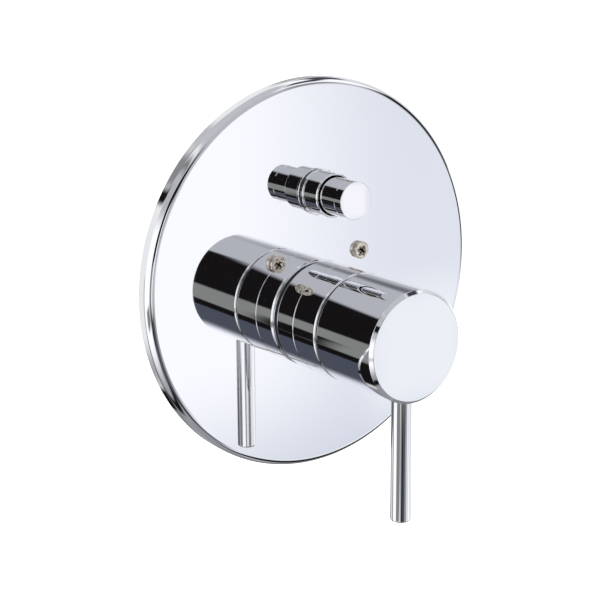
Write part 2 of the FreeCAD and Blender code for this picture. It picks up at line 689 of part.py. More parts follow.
def fixed_disc():
    disc = tube(DISC_CAVITY_R - SLIP, DISC_CENTRE_HOLE_R, FIXED_DISC_Y, CAVITY_END_Y, HANDLE_AXIS)
    for angles in (COLD_PORT_ANGLES, HOT_PORT_ANGLES):
        disc = disc.cut(kidney(DISC_PORT_INNER_R, DISC_PORT_OUTER_R, angles, FIXED_DISC_Y, CAVITY_END_Y))
    return disc


def inlet_hole_axis(side):
    """Give the axis of the hot or cold hole between the body's floor and the cartridge."""
    return Vector(side * INLET_HOLE_X, 0, HANDLE_Z + INLET_HOLE_ABOVE_AXIS)


def floor_seal(radius, axis):
    start = CARTRIDGE_FLOOR_Y - FLOOR_SEAL_THICK
    return tube(radius + FLOOR_SEAL_WIDTH, radius, start, CARTRIDGE_FLOOR_Y, axis)


def cartridge_base():
    base = rod(CARTRIDGE_R, CAVITY_END_Y, CARTRIDGE_FLOOR_Y, HANDLE_AXIS)
    base = base.cut(rod(DISC_CENTRE_HOLE_R, CAVITY_END_Y, CARTRIDGE_FLOOR_Y, HANDLE_AXIS))
    for angles in (COLD_PORT_ANGLES, HOT_PORT_ANGLES):
        base = base.cut(kidney(DISC_PORT_INNER_R, DISC_PORT_OUTER_R, angles, CAVITY_END_Y, BALANCE_Y))
    base = base.cut(rod(BALANCE_BORE_R, -BALANCE_BORE_HALF, CARTRIDGE_R, BALANCE_AXIS, X_AXIS))
    seal_y = CARTRIDGE_FLOOR_Y - FLOOR_SEAL_THICK
    for side in (-1, 1):
        axis = inlet_hole_axis(side)
        base = base.cut(rod(INLET_HOLE_R, BALANCE_Y, CARTRIDGE_FLOOR_Y, axis))
        base = base.cut(rod(INLET_HOLE_R + FLOOR_SEAL_WIDTH, seal_y, CARTRIDGE_FLOOR_Y, axis))
    return base.cut(rod(DISC_CENTRE_HOLE_R + FLOOR_SEAL_WIDTH, seal_y, CARTRIDGE_FLOOR_Y, HANDLE_AXIS))


def balance_spool():
    """Make the balancing spool: three lands on a thin core, with a stub at each end."""
    half = BALANCE_SPOOL_HALF
    land_r = BALANCE_BORE_R - RUNNING
    outer_land = half - BALANCE_STUB_LENGTH - BALANCE_LAND / 2
    corners = [(0, -half, 0), (BALANCE_STUB_R, -half, 0)]
    for centre in (-outer_land, 0, outer_land):
        start_r = corners[-1][0]
        end_r = BALANCE_STUB_R if centre == outer_land else BALANCE_CORE_R
        start = centre - BALANCE_LAND / 2
        end = centre + BALANCE_LAND / 2
        corners.append((start_r, start, 0))
        corners.append((land_r, start, EDGE_BREAK / 2))
        corners.append((land_r, end, EDGE_BREAK / 2))
        corners.append((end_r, end, 0))
    corners += [(BALANCE_STUB_R, half, 0), (0, half, 0)]
    return turned(corners, BALANCE_AXIS, X_AXIS)


def balance_plug():
    end = BALANCE_BORE_HALF + BALANCE_PLUG_LENGTH
    plug = rod(BALANCE_BORE_R, BALANCE_BORE_HALF, end, BALANCE_AXIS, X_AXIS)
    return plug.common(rod(CARTRIDGE_R, CAVITY_END_Y, CARTRIDGE_FLOOR_Y, HANDLE_AXIS))


def diverter_seal():
    outer = COLLAR_R - COLLAR_SEAL_INSET
    return tube(outer, BONNET_NOSE_R + RUNNING, COLLAR_REAR_Y, PLATE_FACE_Y, DIVERTER_AXIS)


def diverter_collar():
    return turned(
        [
            (COLLAR_BORE_R, COLLAR_REAR_Y, 0),
            (COLLAR_R, COLLAR_REAR_Y, COLLAR_ROUND),
            (COLLAR_R, COLLAR_FRONT_Y, COLLAR_ROUND),
            (COLLAR_BORE_R, COLLAR_FRONT_Y, EDGE_BREAK / 2),
        ],
        DIVERTER_AXIS,
    )


def diverter_knob():
    groove_y = KNOB_FRONT_Y + KNOB_GROOVE_BEHIND_FRONT
    half = KNOB_GROOVE_WIDTH / 2
    skirt_y = KNOB_REAR_Y - KNOB_SKIRT_DEPTH
    bore_y = SPOOL_FRONT_Y - FREE_GAP
    bore_r = SPOOL_STEM_R + RUNNING
    return turned(
        [
            (0, KNOB_FRONT_Y, 0),
            (KNOB_R, KNOB_FRONT_Y, KNOB_FACE_ROUND),
            (KNOB_R, groove_y - half, 0),
            (KNOB_R - KNOB_GROOVE_DEPTH, groove_y, 0),
            (KNOB_R, groove_y + half, 0),
            (KNOB_R, KNOB_REAR_Y, EDGE_BREAK),
            (KNOB_R - KNOB_SKIRT_WALL, KNOB_REAR_Y, 0),
            (KNOB_R - KNOB_SKIRT_WALL, skirt_y, 0),
            (bore_r, skirt_y, 0),
            (bore_r, bore_y, 0),
            (0, bore_y, 0),
        ],
        DIVERTER_AXIS,
    )


def bonnet_ring_y():
    return (BONNET_NOSE_Y + SPRING_SEAT_Y) / 2


def diverter_bonnet():
    bore_r = SPOOL_STEM_R + RUNNING
    bonnet = turned(
        [
            (bore_r, BONNET_NOSE_Y, 0),
            (BONNET_NOSE_R, BONNET_NOSE_Y, EDGE_BREAK),
            (BONNET_NOSE_R, BONNET_REST_Y, 0),
            (BONNET_THREAD_R, BONNET_REST_Y, 0),
            (BONNET_THREAD_R, BONNET_THREAD_END_Y, EDGE_BREAK),
            (SPRING_POCKET_R, BONNET_THREAD_END_Y, 0),
            (SPRING_POCKET_R, SPRING_SEAT_Y, 0),
            (bore_r, SPRING_SEAT_Y, 0),
        ],
        DIVERTER_AXIS,
    )
    collar = hexagon(BONNET_FLATS, BONNET_HEX_FRONT_Y, BONNET_REST_Y, DIVERTER_AXIS)
    collar = collar.cut(rod(BONNET_NOSE_R, BONNET_HEX_FRONT_Y, BONNET_REST_Y, DIVERTER_AXIS))
    ring_y = bonnet_ring_y()
    ring_r = bore_r + 2 * SPOOL_RING_WIRE_R
    groove = rod(ring_r, ring_y - SPOOL_RING_WIRE_R, ring_y + SPOOL_RING_WIRE_R, DIVERTER_AXIS)
    return bonnet.fuse(collar).removeSplitter().cut(groove)


def bonnet_o_ring():
    return o_ring(SPOOL_STEM_R + RUNNING, SPOOL_RING_WIRE_R, bonnet_ring_y(), DIVERTER_AXIS)


def bonnet_washer():
    return tube(BONNET_WASHER_R, BONNET_THREAD_R + SLIP, BONNET_REST_Y, DIVERTER_BOSS_FRONT_Y, DIVERTER_AXIS)


def spool_ring_inner_r():
    return DIVERTER_BORE_R - RUNNING - 2 * SPOOL_RING_WIRE_R


def spool_ring_y(land_y):
    return land_y + SPOOL_LAND_LENGTH / 2


def diverter_spool():
    corners = [(0, SPOOL_FRONT_Y, 0), (SPOOL_STEM_R, SPOOL_FRONT_Y, EDGE_BREAK)]
    corners.append((SPOOL_STEM_R, SPOOL_FRONT_LAND_Y, 0))
    for land_y, core_r in ((SPOOL_FRONT_LAND_Y, SPOOL_CORE_R), (SPOOL_REAR_LAND_Y, 0)):
        ring_y = spool_ring_y(land_y)
        ring_r = spool_ring_inner_r()
        corners.append((SPOOL_LAND_R, land_y, 0))
        corners.append((SPOOL_LAND_R, ring_y - SPOOL_RING_WIRE_R, 0))
        corners.append((ring_r, ring_y - SPOOL_RING_WIRE_R, 0))
        corners.append((ring_r, ring_y + SPOOL_RING_WIRE_R, 0))
        corners.append((SPOOL_LAND_R, ring_y + SPOOL_RING_WIRE_R, 0))
        corners.append((SPOOL_LAND_R, land_y + SPOOL_LAND_LENGTH, 0))
        corners.append((core_r, land_y + SPOOL_LAND_LENGTH, 0))
        if core_r > 0:
            corners.append((core_r, SPOOL_REAR_LAND_Y, 0))
    return turned(corners, DIVERTER_AXIS)


def spool_o_ring(land_y):
    return o_ring(spool_ring_inner_r(), SPOOL_RING_WIRE_R, spool_ring_y(land_y), DIVERTER_AXIS)


def diverter_spring():
    start = SPRING_SEAT_Y + SPRING_WIRE_R
    end = SPOOL_FRONT_LAND_Y - SPRING_WIRE_R
    height = end - start
    path = Part.makeHelix(height / SPRING_TURNS, height, SPRING_MEAN_R)
    section = Part.Wire(Part.makeCircle(SPRING_WIRE_R, Vector(SPRING_MEAN_R, 0, 0), Y_AXIS))
    coil = Part.Wire(path).makePipeShell([section], True, True)
    return put(coil, DIVERTER_AXIS + Y_AXIS * start, Y_AXIS)


def hex_port(origin, direction, reach):
    """Make a cast port: a round neck that flares from the chamber, and a hexagonal mouth."""
    collar_start = reach - PORT_COLLAR_LENGTH
    neck = turned(
        [
            (0, 0, 0),
            (PORT_R + CAST_ROUND, 0, 0),
            (PORT_R, collar_start - CAST_ROUND, 0),
            (PORT_R, reach, 0),
            (0, reach, 0),
        ],
        origin,
        direction,
    )
    turn = HEX_FLAT_TURN if direction.z != 0 else 0.0
    mouth = hexagon(PORT_FLATS, collar_start, reach, origin, direction, turn)
    bevel_depth = (PORT_HEX_R - PORT_FLATS / 2) / 2
    bevel = turned(
        [
            (0, collar_start, 0),
            (PORT_FLATS / 2, collar_start, 0),
            (PORT_HEX_R, collar_start + bevel_depth, 0),
            (PORT_HEX_R, reach - bevel_depth, 0),
            (PORT_FLATS / 2, reach, 0),
            (0, reach, 0),
        ],
        origin,
        direction,
    )
    return neck.fuse(mouth.common(bevel))


def port_bore(origin, direction, reach):
    """Make the threaded mouth of a port, to its thread's inner wall."""
    start = reach - PORT_THREAD_LENGTH
    return turned(
        [
            (0, start, 0),
            (PORT_THREAD_R, start, 0),
            (PORT_THREAD_R, reach - PORT_MOUTH_CHAMFER, 0),
            (PORT_THREAD_R + PORT_MOUTH_CHAMFER, reach, 0),
            (0, reach, 0),
        ],
        origin,
        direction,
    )


def fixing_bar(z):
    """Make a flat cast bar with a lug and a screw hole at each end."""
    half = LUG_SPACING_X / 2
    front = LUG_BACK_Y - LUG_THICK
    bar = Part.makeBox(2 * half, LUG_THICK, 2 * LUG_R, Vector(-half, front, z - LUG_R))
    for side in (-1, 1):
        bar = bar.fuse(rod(LUG_R, front, LUG_BACK_Y, Vector(side * half, 0, z)))
    bar = bar.removeSplitter()
    for side in (-1, 1):
        bar = bar.cut(rod(LUG_HOLE_R, front, LUG_BACK_Y, Vector(side * half, 0, z)))
    return bar


def screw_boss(side):
    """Make the post that takes a plate screw, with the web that ties it to the chamber."""
    at = Vector(side * SCREW_X, 0, SCREW_Z)
    back = LUG_BACK_Y - LUG_THICK
    web_front = BOSS_FRONT_Y + BOSS_WEB_SETBACK
    reach = at.distanceToPoint(HANDLE_AXIS)
    web = Part.makeBox(reach, back - web_front, BOSS_WEB_THICK, Vector(0, web_front, -BOSS_WEB_THICK / 2))
    angle = math.degrees(math.atan2(at.z - HANDLE_Z, at.x))
    web.rotate(Vector(0, 0, 0), Y_AXIS, -angle)
    return rod(BOSS_R, BOSS_FRONT_Y, back, at).fuse(web.translated(HANDLE_AXIS))


def body_casting():
    """Make the outside of the cast body."""
    chamber = turned(
        [
            (0, NECK_FRONT_Y, 0),
            (NECK_R, NECK_FRONT_Y, EDGE_BREAK),
            (NECK_R, CHAMBER_FRONT_Y, CAST_ROUND / 2),
            (CHAMBER_R, CHAMBER_FRONT_Y, CAST_ROUND),
            (CHAMBER_R, BODY_BACK_Y, CAST_ROUND),
            (0, BODY_BACK_Y, 0),
        ],
        HANDLE_AXIS,
    )
    diverter = turned(
        [
            (0, DIVERTER_BOSS_FRONT_Y, 0),
            (DIVERTER_CHAMBER_R, DIVERTER_BOSS_FRONT_Y, EDGE_BREAK),
            (DIVERTER_CHAMBER_R, BODY_BACK_Y, CAST_ROUND),
            (0, BODY_BACK_Y, 0),
        ],
        DIVERTER_AXIS,
    )
    height = DIVERTER_Z - HANDLE_Z
    bridge_front = MIXED_WATERWAY_Y - NECK_BRIDGE_R
    bridge = Part.makeBox(
        2 * NECK_BRIDGE_R, BODY_BACK_Y - bridge_front, height, Vector(-NECK_BRIDGE_R, bridge_front, HANDLE_Z)
    )
    upright = [edge for edge in bridge.Edges if abs(edge.tangentAt(0).z) > 0.5]
    bridge = bridge.makeFillet(CAST_ROUND, upright)
    casting = chamber.fuse([diverter, bridge])
    inlet = Vector(0, PORT_Y, HANDLE_Z)
    casting = casting.fuse(hex_port(inlet, X_AXIS, INLET_END_X))
    casting = casting.fuse(hex_port(inlet, Vector(-1, 0, 0), INLET_END_X))
    casting = casting.fuse(hex_port(Vector(0, PORT_Y, DIVERTER_Z), Z_AXIS, SHOWER_END_Z - DIVERTER_Z))
    casting = casting.fuse(hex_port(inlet, Vector(0, 0, -1), HANDLE_Z - TUB_END_Z))
    for side in (-1, 1):
        casting = casting.fuse(fixing_bar(HANDLE_Z + side * LUG_SPACING_Z / 2))
        casting = casting.fuse(screw_boss(side))
    return casting


def body_waterways():
    """Make everything that is bored or cored out of the body, as one list of tools."""
    tools = []
    thread_end = CARTRIDGE_FRONT_Y
    tools.append(rod(NUT_R + SLIP, NECK_FRONT_Y, thread_end, HANDLE_AXIS))
    tools.append(rod(CARTRIDGE_R + SLIP, thread_end, CARTRIDGE_FLOOR_Y, HANDLE_AXIS))
    for behind in NECK_RING_BEHIND_FRONT:
        front = NECK_FRONT_Y + behind - NECK_RING_WIRE_R
        rear = NECK_FRONT_Y + behind + NECK_RING_WIRE_R
        tools.append(tube(NECK_R + CUT_OVERRUN, neck_ring_inner_r(), front, rear, HANDLE_AXIS))
    for side in (-1, 1):
        direction = X_AXIS * side
        inlet = Vector(0, PORT_Y, HANDLE_Z)
        tools.append(port_bore(inlet, direction, INLET_END_X))
        tools.append(rod(STRAINER_POCKET_R, STRAINER_INNER_X, STRAINER_OUTER_X, inlet, direction))
        tools.append(rod(INLET_WATERWAY_R, INLET_WATERWAY_END_X, STRAINER_INNER_X, inlet, direction))
        tools.append(rod(INLET_HOLE_R, CARTRIDGE_FLOOR_Y, PORT_Y, inlet_hole_axis(side)))
        boss = Vector(side * SCREW_X, 0, SCREW_Z)
        tools.append(rod(SCREW_THREAD_R, BOSS_FRONT_Y, BOSS_FRONT_Y + BOSS_HOLE_DEPTH, boss))
    tools.append(rod(DISC_CENTRE_HOLE_R, CARTRIDGE_FLOOR_Y, MIXED_WATERWAY_Y, HANDLE_AXIS))
    riser = Vector(0, MIXED_WATERWAY_Y, 0)
    tools.append(strut(MIXED_WATERWAY_R, riser + HANDLE_AXIS, riser + DIVERTER_AXIS))
    thread_end = BONNET_THREAD_END_Y + SLIP
    tools.append(rod(BONNET_THREAD_R + SLIP, DIVERTER_BOSS_FRONT_Y, thread_end, DIVERTER_AXIS))
    tools.append(rod(DIVERTER_BORE_R, DIVERTER_BOSS_FRONT_Y, SPOOL_END_Y, DIVERTER_AXIS))
    for start, end in (SHOWER_GROOVE_Y, MIXED_GROOVE_Y, TUB_GROOVE_Y):
        tools.append(rod(DIVERTER_GROOVE_R, start, end, DIVERTER_AXIS))
    tools.append(port_bore(Vector(0, PORT_Y, DIVERTER_Z), Z_AXIS, SHOWER_END_Z - DIVERTER_Z))
    groove_top = DIVERTER_Z + DIVERTER_GROOVE_R
    slant_start = Vector(0, SLANT_WATERWAY_Y[0], groove_top - SLANT_WATERWAY_R)
    slant_end = Vector(0, SLANT_WATERWAY_Y[1], SHOWER_FLOOR_Z + SLANT_WATERWAY_R)
    tools.append(strut(SLANT_WATERWAY_R, slant_start, slant_end))
    tools.append(port_bore(Vector(0, PORT_Y, HANDLE_Z), Vector(0, 0, -1), HANDLE_Z - TUB_END_Z))
    knee = Vector(0, TUB_WATERWAY_Y, HANDLE_Z - CARTRIDGE_R)
    tub_floor = TUB_END_Z + PORT_THREAD_LENGTH
    tools.append(strut(TUB_WATERWAY_R, Vector(0, TUB_WATERWAY_Y, DIVERTER_Z), knee))
    tools.append(strut(TUB_WATERWAY_R, knee, Vector(0, PORT_Y, tub_floor)))
    tools.append(Part.makeSphere(TUB_WATERWAY_R, knee))
    return tools


def valve_body():
    body = body_casting()
    for tool in body_waterways():
        body = body.cut(tool)
    return body


def inlet_strainer(side):
    """Make the slotted strainer thimble that sits behind an inlet's thread."""
    direction = X_AXIS * side
    inlet = Vector(0, PORT_Y, HANDLE_Z)
    slot_start = STRAINER_OUTER_X - STRAINER_FLANGE - STRAINER_WALL - STRAINER_SLOT_LENGTH
    thimble = turned(
        [
            (0, STRAINER_INNER_X, 0),
            (STRAINER_CUP_R, STRAINER_INNER_X, EDGE_BREAK),
            (STRAINER_CUP_R, STRAINER_OUTER_X - STRAINER_FLANGE, 0),
            (STRAINER_R, STRAINER_OUTER_X - STRAINER_FLANGE, 0),
            (STRAINER_R, STRAINER_OUTER_X, 0),
            (STRAINER_CUP_R - STRAINER_WALL, STRAINER_OUTER_X, 0),
            (STRAINER_CUP_R - STRAINER_WALL, STRAINER_INNER_X + STRAINER_WALL, 0),
            (0, STRAINER_INNER_X + STRAINER_WALL, 0),
        ],
        inlet,
        direction,
    )
    half = STRAINER_SLOT_WIDTH / 2
    for i in range(STRAINER_SLOT_COUNT):
        slot = Part.makeBox(STRAINER_CUP_R, STRAINER_SLOT_WIDTH, STRAINER_SLOT_LENGTH)
        slot.translate(Vector(STRAINER_CUP_R / 2, -half, slot_start))
        slot.rotate(Vector(0, 0, 0), Z_AXIS, 360.0 * i / STRAINER_SLOT_COUNT)
        thimble = thimble.cut(put(slot, inlet, direction))
    return thimble


PIECES = {
    "escutcheon_plate": escutcheon_plate,
    "plate_gasket": plate_gasket,
    "plate_screws": plate_screws,
    "sleeve_seal": sleeve_seal,
    "sleeve_base": sleeve_base,
    "sleeve_collar": sleeve_collar,
    "neck_o_ring_front": lambda: neck_o_ring(NECK_RING_BEHIND_FRONT[0]),
    "neck_o_ring_rear": lambda: neck_o_ring(NECK_RING_BEHIND_FRONT[1]),
    "handle_body": handle_body,
    "handle_lever": handle_lever,
    "handle_grub_screw": handle_grub_screw,
    "limit_stop": limit_stop,
    "cartridge_nut": cartridge_nut,
    "cartridge_housing": cartridge_housing,
    "housing_o_ring": housing_o_ring,
    "cartridge_stem": cartridge_stem,
    "stem_o_ring_front": lambda: stem_o_ring(STEM_RING_BEHIND_NOSE[0]),
    "stem_o_ring_rear": lambda: stem_o_ring(STEM_RING_BEHIND_NOSE[1]),
    "moving_disc": moving_disc,
    "fixed_disc": fixed_disc,
    "cartridge_base": cartridge_base,
    "balance_spool": balance_spool,
    "balance_plug": balance_plug,
    "hot_port_seal": lambda: floor_seal(INLET_HOLE_R, inlet_hole_axis(-1)),
    "cold_port_seal": lambda: floor_seal(INLET_HOLE_R, inlet_hole_axis(1)),
    "mixed_port_seal": lambda: floor_seal(DISC_CENTRE_HOLE_R, HANDLE_AXIS),
    "valve_body": valve_body,
    "hot_strainer": lambda: inlet_strainer(-1),
    "cold_strainer": lambda: inlet_strainer(1),
    "diverter_seal": diverter_seal,
    "diverter_collar": diverter_collar,
    "diverter_knob": diverter_knob,
    "diverter_bonnet": diverter_bonnet,
    "bonnet_o_ring": bonnet_o_ring,
    "bonnet_washer": bonnet_washer,
    "diverter_spool": diverter_spool,
    "spool_o_ring_front": lambda: spool_o_ring(SPOOL_FRONT_LAND_Y),
    "spool_o_ring_rear": lambda: spool_o_ring(SPOOL_REAR_LAND_Y),
    "diverter_spring": diverter_spring,
}


def main():
    os.makedirs("parts", exist_ok=True)
    for name, make in PIECES.items():
        shape = make()
        if not shape.isValid() or not shape.Solids:
            raise RuntimeError(name + " did not come out as a valid solid")
        shape.exportStep("parts/" + name + ".step")
        box = shape.BoundBox
        print(
            f"{name:20s} solids {len(shape.Solids)} volume {shape.Volume:9.1f}"
            f"  x {box.XMin:7.2f} {box.XMax:7.2f}  y {box.YMin:7.2f} {box.YMax:7.2f}"
            f"  z {box.ZMin:7.2f} {box.ZMax:7.2f}"
        )


main()
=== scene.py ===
"""Finishes and studio for a concealed shower mixer with a pull-out diverter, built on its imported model."""
import json
import math
from collections import namedtuple

import bmesh
import bpy
from mathutils import Matrix, Vector


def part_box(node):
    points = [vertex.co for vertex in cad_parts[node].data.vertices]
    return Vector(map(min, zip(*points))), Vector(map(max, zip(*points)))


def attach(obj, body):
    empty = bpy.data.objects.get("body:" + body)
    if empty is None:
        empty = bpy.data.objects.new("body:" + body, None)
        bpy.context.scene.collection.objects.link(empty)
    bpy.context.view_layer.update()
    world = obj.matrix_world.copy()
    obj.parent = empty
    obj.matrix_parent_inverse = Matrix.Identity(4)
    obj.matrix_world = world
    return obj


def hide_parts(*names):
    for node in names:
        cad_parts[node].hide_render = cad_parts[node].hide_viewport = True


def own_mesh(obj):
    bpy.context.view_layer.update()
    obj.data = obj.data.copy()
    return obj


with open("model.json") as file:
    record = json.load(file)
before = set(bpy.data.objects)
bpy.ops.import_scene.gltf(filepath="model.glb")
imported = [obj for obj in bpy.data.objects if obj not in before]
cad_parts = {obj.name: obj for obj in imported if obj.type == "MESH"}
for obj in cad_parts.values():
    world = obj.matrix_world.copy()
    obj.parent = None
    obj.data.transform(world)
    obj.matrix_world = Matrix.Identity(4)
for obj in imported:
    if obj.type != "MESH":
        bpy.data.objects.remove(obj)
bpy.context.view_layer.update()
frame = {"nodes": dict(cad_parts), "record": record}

bl_info = {
    "name": "Concealed shower mixer",
    "version": (1, 0, 0),
    "blender": (4, 5, 0),
    "location": "View3D > Sidebar > Shower mixer",
    "description": "Chrome trim, brass body and studio for a shower mixer with a pull-out diverter",
    "category": "Object",
}

MM = 0.001

# The row frame: x to the right, y into the wall, z up
RIGHT = Vector((1, 0, 0))
INWARD = Vector((0, 1, 0))
UP = Vector((0, 0, 1))

# How finely round forms are made
TURNED_SEGMENTS = 256
ROUNDING_STEPS = 16
DRILL_SEGMENTS = 64
SHARP_ANGLE = math.radians(30)
WELD_DISTANCE = 0.001 * MM
TOUCH = 0.02 * MM
SHORTEST_EDGE = 0.002 * MM
STEEP = 0.5

# How a face of a drilled mesh is matched with the form it lies on: how square to a hole's axis its wall
# stands, how near to the hole's radius it lies, and how alike the directions of a face and its edge are
SQUARE_LIMIT = 0.1
HOLE_FIT = 0.01
SAME_FACING = 0.97

# Inner forms of the trim
DRILL_OVERRUN = 1.0 * MM
PLATE_HOLE_GAP = 0.5 * MM
CAP_SOLID_FRONT = 17.0 * MM
CAP_CAVITY_ROUND = 1.0 * MM
PIN_STUB_RADIUS = 3.0 * MM
PIN_STUB_LENGTH = 8.0 * MM
SOCKET_GAP = 0.05 * MM
KEY_HOLE_RADIUS = 2.7 * MM
KNOB_SKIRT_WALL = 1.5 * MM
KNOB_SKIRT_DEPTH = 6.0 * MM
KNOB_BORE_RADIUS = 3.05 * MM
KNOB_BORE_GAP = 0.3 * MM

# The screws' recess and the threads, whose round ridges are sunk a little into what they stand on
CROSS_FLOOR_SHARE = 0.72
# The painted shade in the screws' cross recess: how far it reaches past the cross, and the depths below the
# head's face where it starts and where it is full
RECESS_SHADE_MARGIN = 0.4 * MM
RECESS_SHADE_FROM = 0.04 * MM
RECESS_SHADE_FULL = 0.2 * MM
SCREW_RIDGE_FULLNESS = 1.1
PIPE_RIDGE_FULLNESS = 1.2
SCREW_THREAD_STEPS, SCREW_THREAD_SIDES = 24, 6
PIPE_THREAD_STEPS, PIPE_THREAD_SIDES = 64, 8

HANDLE_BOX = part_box("handle_body")
LEVER_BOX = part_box("handle_lever")
PLATE_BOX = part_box("escutcheon_plate")
KNOB_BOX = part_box("diverter_knob")
SCREWS_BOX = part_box("plate_screws")


def middle(box):
    """Return the centre of a node's box."""
    return (box[0] + box[1]) / 2


def front_and_rear(node):
    """Return where a node's box starts and ends along y."""
    return tuple(corner.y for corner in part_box(node))


def ring_radii(node, axis):
    """Return a turned node's smallest and largest radius about an axis along y, from its vertices."""
    points = [vertex.co - axis for vertex in frame["nodes"][node].data.vertices]
    radii = [math.hypot(point.x, point.z) for point in points]
    return min(radii), max(radii)


HANDLE_AXIS = Vector((0, 0, middle(HANDLE_BOX).z))
DIVERTER_AXIS = Vector((0, 0, middle(KNOB_BOX).z))
NECK_RADIUS = ring_radii("sleeve_base", HANDLE_AXIS)[0]
NECK_ROOT_Y = PLATE_BOX[0].y
BORE_MARGIN = 1.2 * MM


def linear(hex_colour, strength=1.0):
    """Turn an sRGB hex colour into the linear colour that shaders use."""
    channels = [int(hex_colour[i:i + 2], 16) / 255 for i in (1, 3, 5)]
    lit = [c / 12.92 if c <= 0.04045 else ((c + 0.055) / 1.055) ** 2.4 for c in channels]
    return tuple(strength * c for c in lit) + (1.0,)


def add_node(tree, kind, inputs=None, **settings):
    """Add a node with its settings, and set its inputs to values or link them to other nodes."""
    node = tree.nodes.new(kind)
    for name, value in settings.items():
        setattr(node, name, value)
    named = {socket.identifier: socket for socket in node.inputs}
    for key, value in (inputs or {}).items():
        socket = node.inputs[key] if isinstance(key, int) else named[key]
        if isinstance(value, bpy.types.Node):
            value = value.outputs[0]
        if isinstance(value, bpy.types.NodeSocket):
            tree.links.new(value, socket)
        else:
            socket.default_value = value
    return node


def add_object(name, data):
    """Return a new object in the scene, at the origin."""
    obj = bpy.data.objects.new(name, data)
    bpy.context.scene.collection.objects.link(obj)
    return obj


def mesh_of(form, name):
    """Return a mesh made from a bmesh form, and free the form."""
    mesh = bpy.data.meshes.new(name)
    form.to_mesh(mesh)
    form.free()
    return mesh


# Turned forms


def outline_edges(corners):
    """Return the edges of an outline of (radius, along, rounding) corners, with their end normals."""
    stretches = []
    for i, (radius, along, rounding) in enumerate(corners):
        corner = Vector((radius, along))
        if not rounding:
            stretches.append([(corner, None)])
            continue
        before = (Vector(corners[i - 1][:2]) - corner).normalized()
        after = (Vector(corners[(i + 1) % len(corners)][:2]) - corner).normalized()
        half = before.angle(after) / 2
        centre = corner + (before + after).normalized() * rounding / math.sin(half)
        first = corner + before * rounding / math.tan(half) - centre
        last = corner + after * rounding / math.tan(half) - centre
        sweep = first.angle(last)
        steps = max(2, round(ROUNDING_STEPS * sweep / (math.pi / 2)))
        bulge = 1 if edge_normal(first, last).dot(first) > 0 else -1
        arc = []
        for step in range(steps + 1):
            part = sweep * step / steps
            spoke = (first * math.sin(sweep - part) + last * math.sin(part)) / math.sin(sweep)
            arc.append((centre + spoke, spoke.normalized() * bulge))
        stretches.append(arc)
    edges = []
    for stretch, following in zip(stretches, stretches[1:] + stretches[:1]):
        for (start, start_normal), (end, end_normal) in zip(stretch, stretch[1:]):
            edges.append((start, end, start_normal, end_normal))
        start, end = stretch[-1][0], following[0][0]
        if (end - start).length > SHORTEST_EDGE and max(start.x, end.x) > 0:
            normal = edge_normal(start, end)
            edges.append((start, end, normal, normal))
    return edges


def edge_normal(start, end):
    """Return the outward normal of an edge of an outline whose corners run from the front outwards."""
    run = (end - start).normalized()
    return Vector((run.y, -run.x))


def turned_axes(along):
    """Return the two directions across a turning axis, and the axis."""
    across = UP.cross(along) if abs(along.z) < STEEP else RIGHT
    across = across.normalized()
    return across, across.cross(along), along


def turn_form(name, corners, origin, along=INWARD, segments=TURNED_SEGMENTS):
    """Turn a closed outline round an axis into a mesh object with the exact normals of its form."""
    edges = outline_edges(corners)
    u, v, w = turned_axes(along)
    angles = [2 * math.pi * j / segments for j in range(segments)]
    spokes = [u * math.cos(a) + v * math.sin(a) for a in angles]
    form = bmesh.new()
    rings = {}
    for start, end, _, _ in edges:
        for point in (start, end):
            key = (round(point.x / WELD_DISTANCE), round(point.y / WELD_DISTANCE))
            if key in rings:
                continue
            if point.x <= TOUCH:
                rings[key] = [form.verts.new(origin + w * point.y)] * segments
            else:
                rings[key] = [form.verts.new(origin + s * point.x + w * point.y) for s in spokes]
    for start, end, _, _ in edges:
        keys = [(round(p.x / WELD_DISTANCE), round(p.y / WELD_DISTANCE)) for p in (start, end)]
        here, there = rings[keys[0]], rings[keys[1]]
        for j in range(segments):
            k = (j + 1) % segments
            ring = [here[j], there[j], there[k], here[k]]
            form.faces.new(list(dict.fromkeys(ring)))
    obj = add_object(name, mesh_of(form, name))
    true_normals(obj, edges, origin, along)
    return obj


def true_normals(obj, edges, origin, along, holes=()):
    """Give every corner of a turned and drilled mesh the normal of the exact form at its place."""
    mesh = obj.data
    u, _, w = turned_axes(along)
    normals = []
    for face in mesh.polygons:
        centre = face.center - origin
        spoke = centre - w * centre.dot(w)
        radial = spoke.normalized() if spoke.length > 0 else u
        flat = Vector((face.normal.dot(radial), face.normal.dot(w)))
        place = Vector((spoke.length, centre.dot(w)))
        drilled = hole_of(face, holes)
        edge = None if drilled else nearest_edge(edges, place, flat)
        for index in face.vertices:
            corner = mesh.vertices[index].co
            if drilled:
                offset = corner - drilled[0]
                offset -= drilled[1] * offset.dot(drilled[1])
                normals.append(-offset.normalized())
            elif edge:
                offset = corner - origin
                height = offset.dot(w)
                arm = offset - w * height
                out = arm.normalized() if arm.length > TOUCH else radial
                start, end, first, last = edge
                run = end - start
                share = (Vector((arm.length, height)) - start).dot(run) / run.length_squared
                share = min(max(share, 0.0), 1.0)
                across = first.lerp(last, share).normalized()
                normals.append((out * across.x + w * across.y).normalized())
            else:
                normals.append(face.normal.copy())
    mesh.shade_smooth()
    mesh.normals_split_custom_set(normals)


def hole_of(face, holes):
    """Return the drilled hole whose wall a face is, or None."""
    for start, direction, radius in holes:
        offset = face.center - start
        offset -= direction * offset.dot(direction)
        across = abs(face.normal.dot(direction)) < SQUARE_LIMIT
        if across and abs(offset.length - radius) < radius * HOLE_FIT:
            return start, direction
    return None


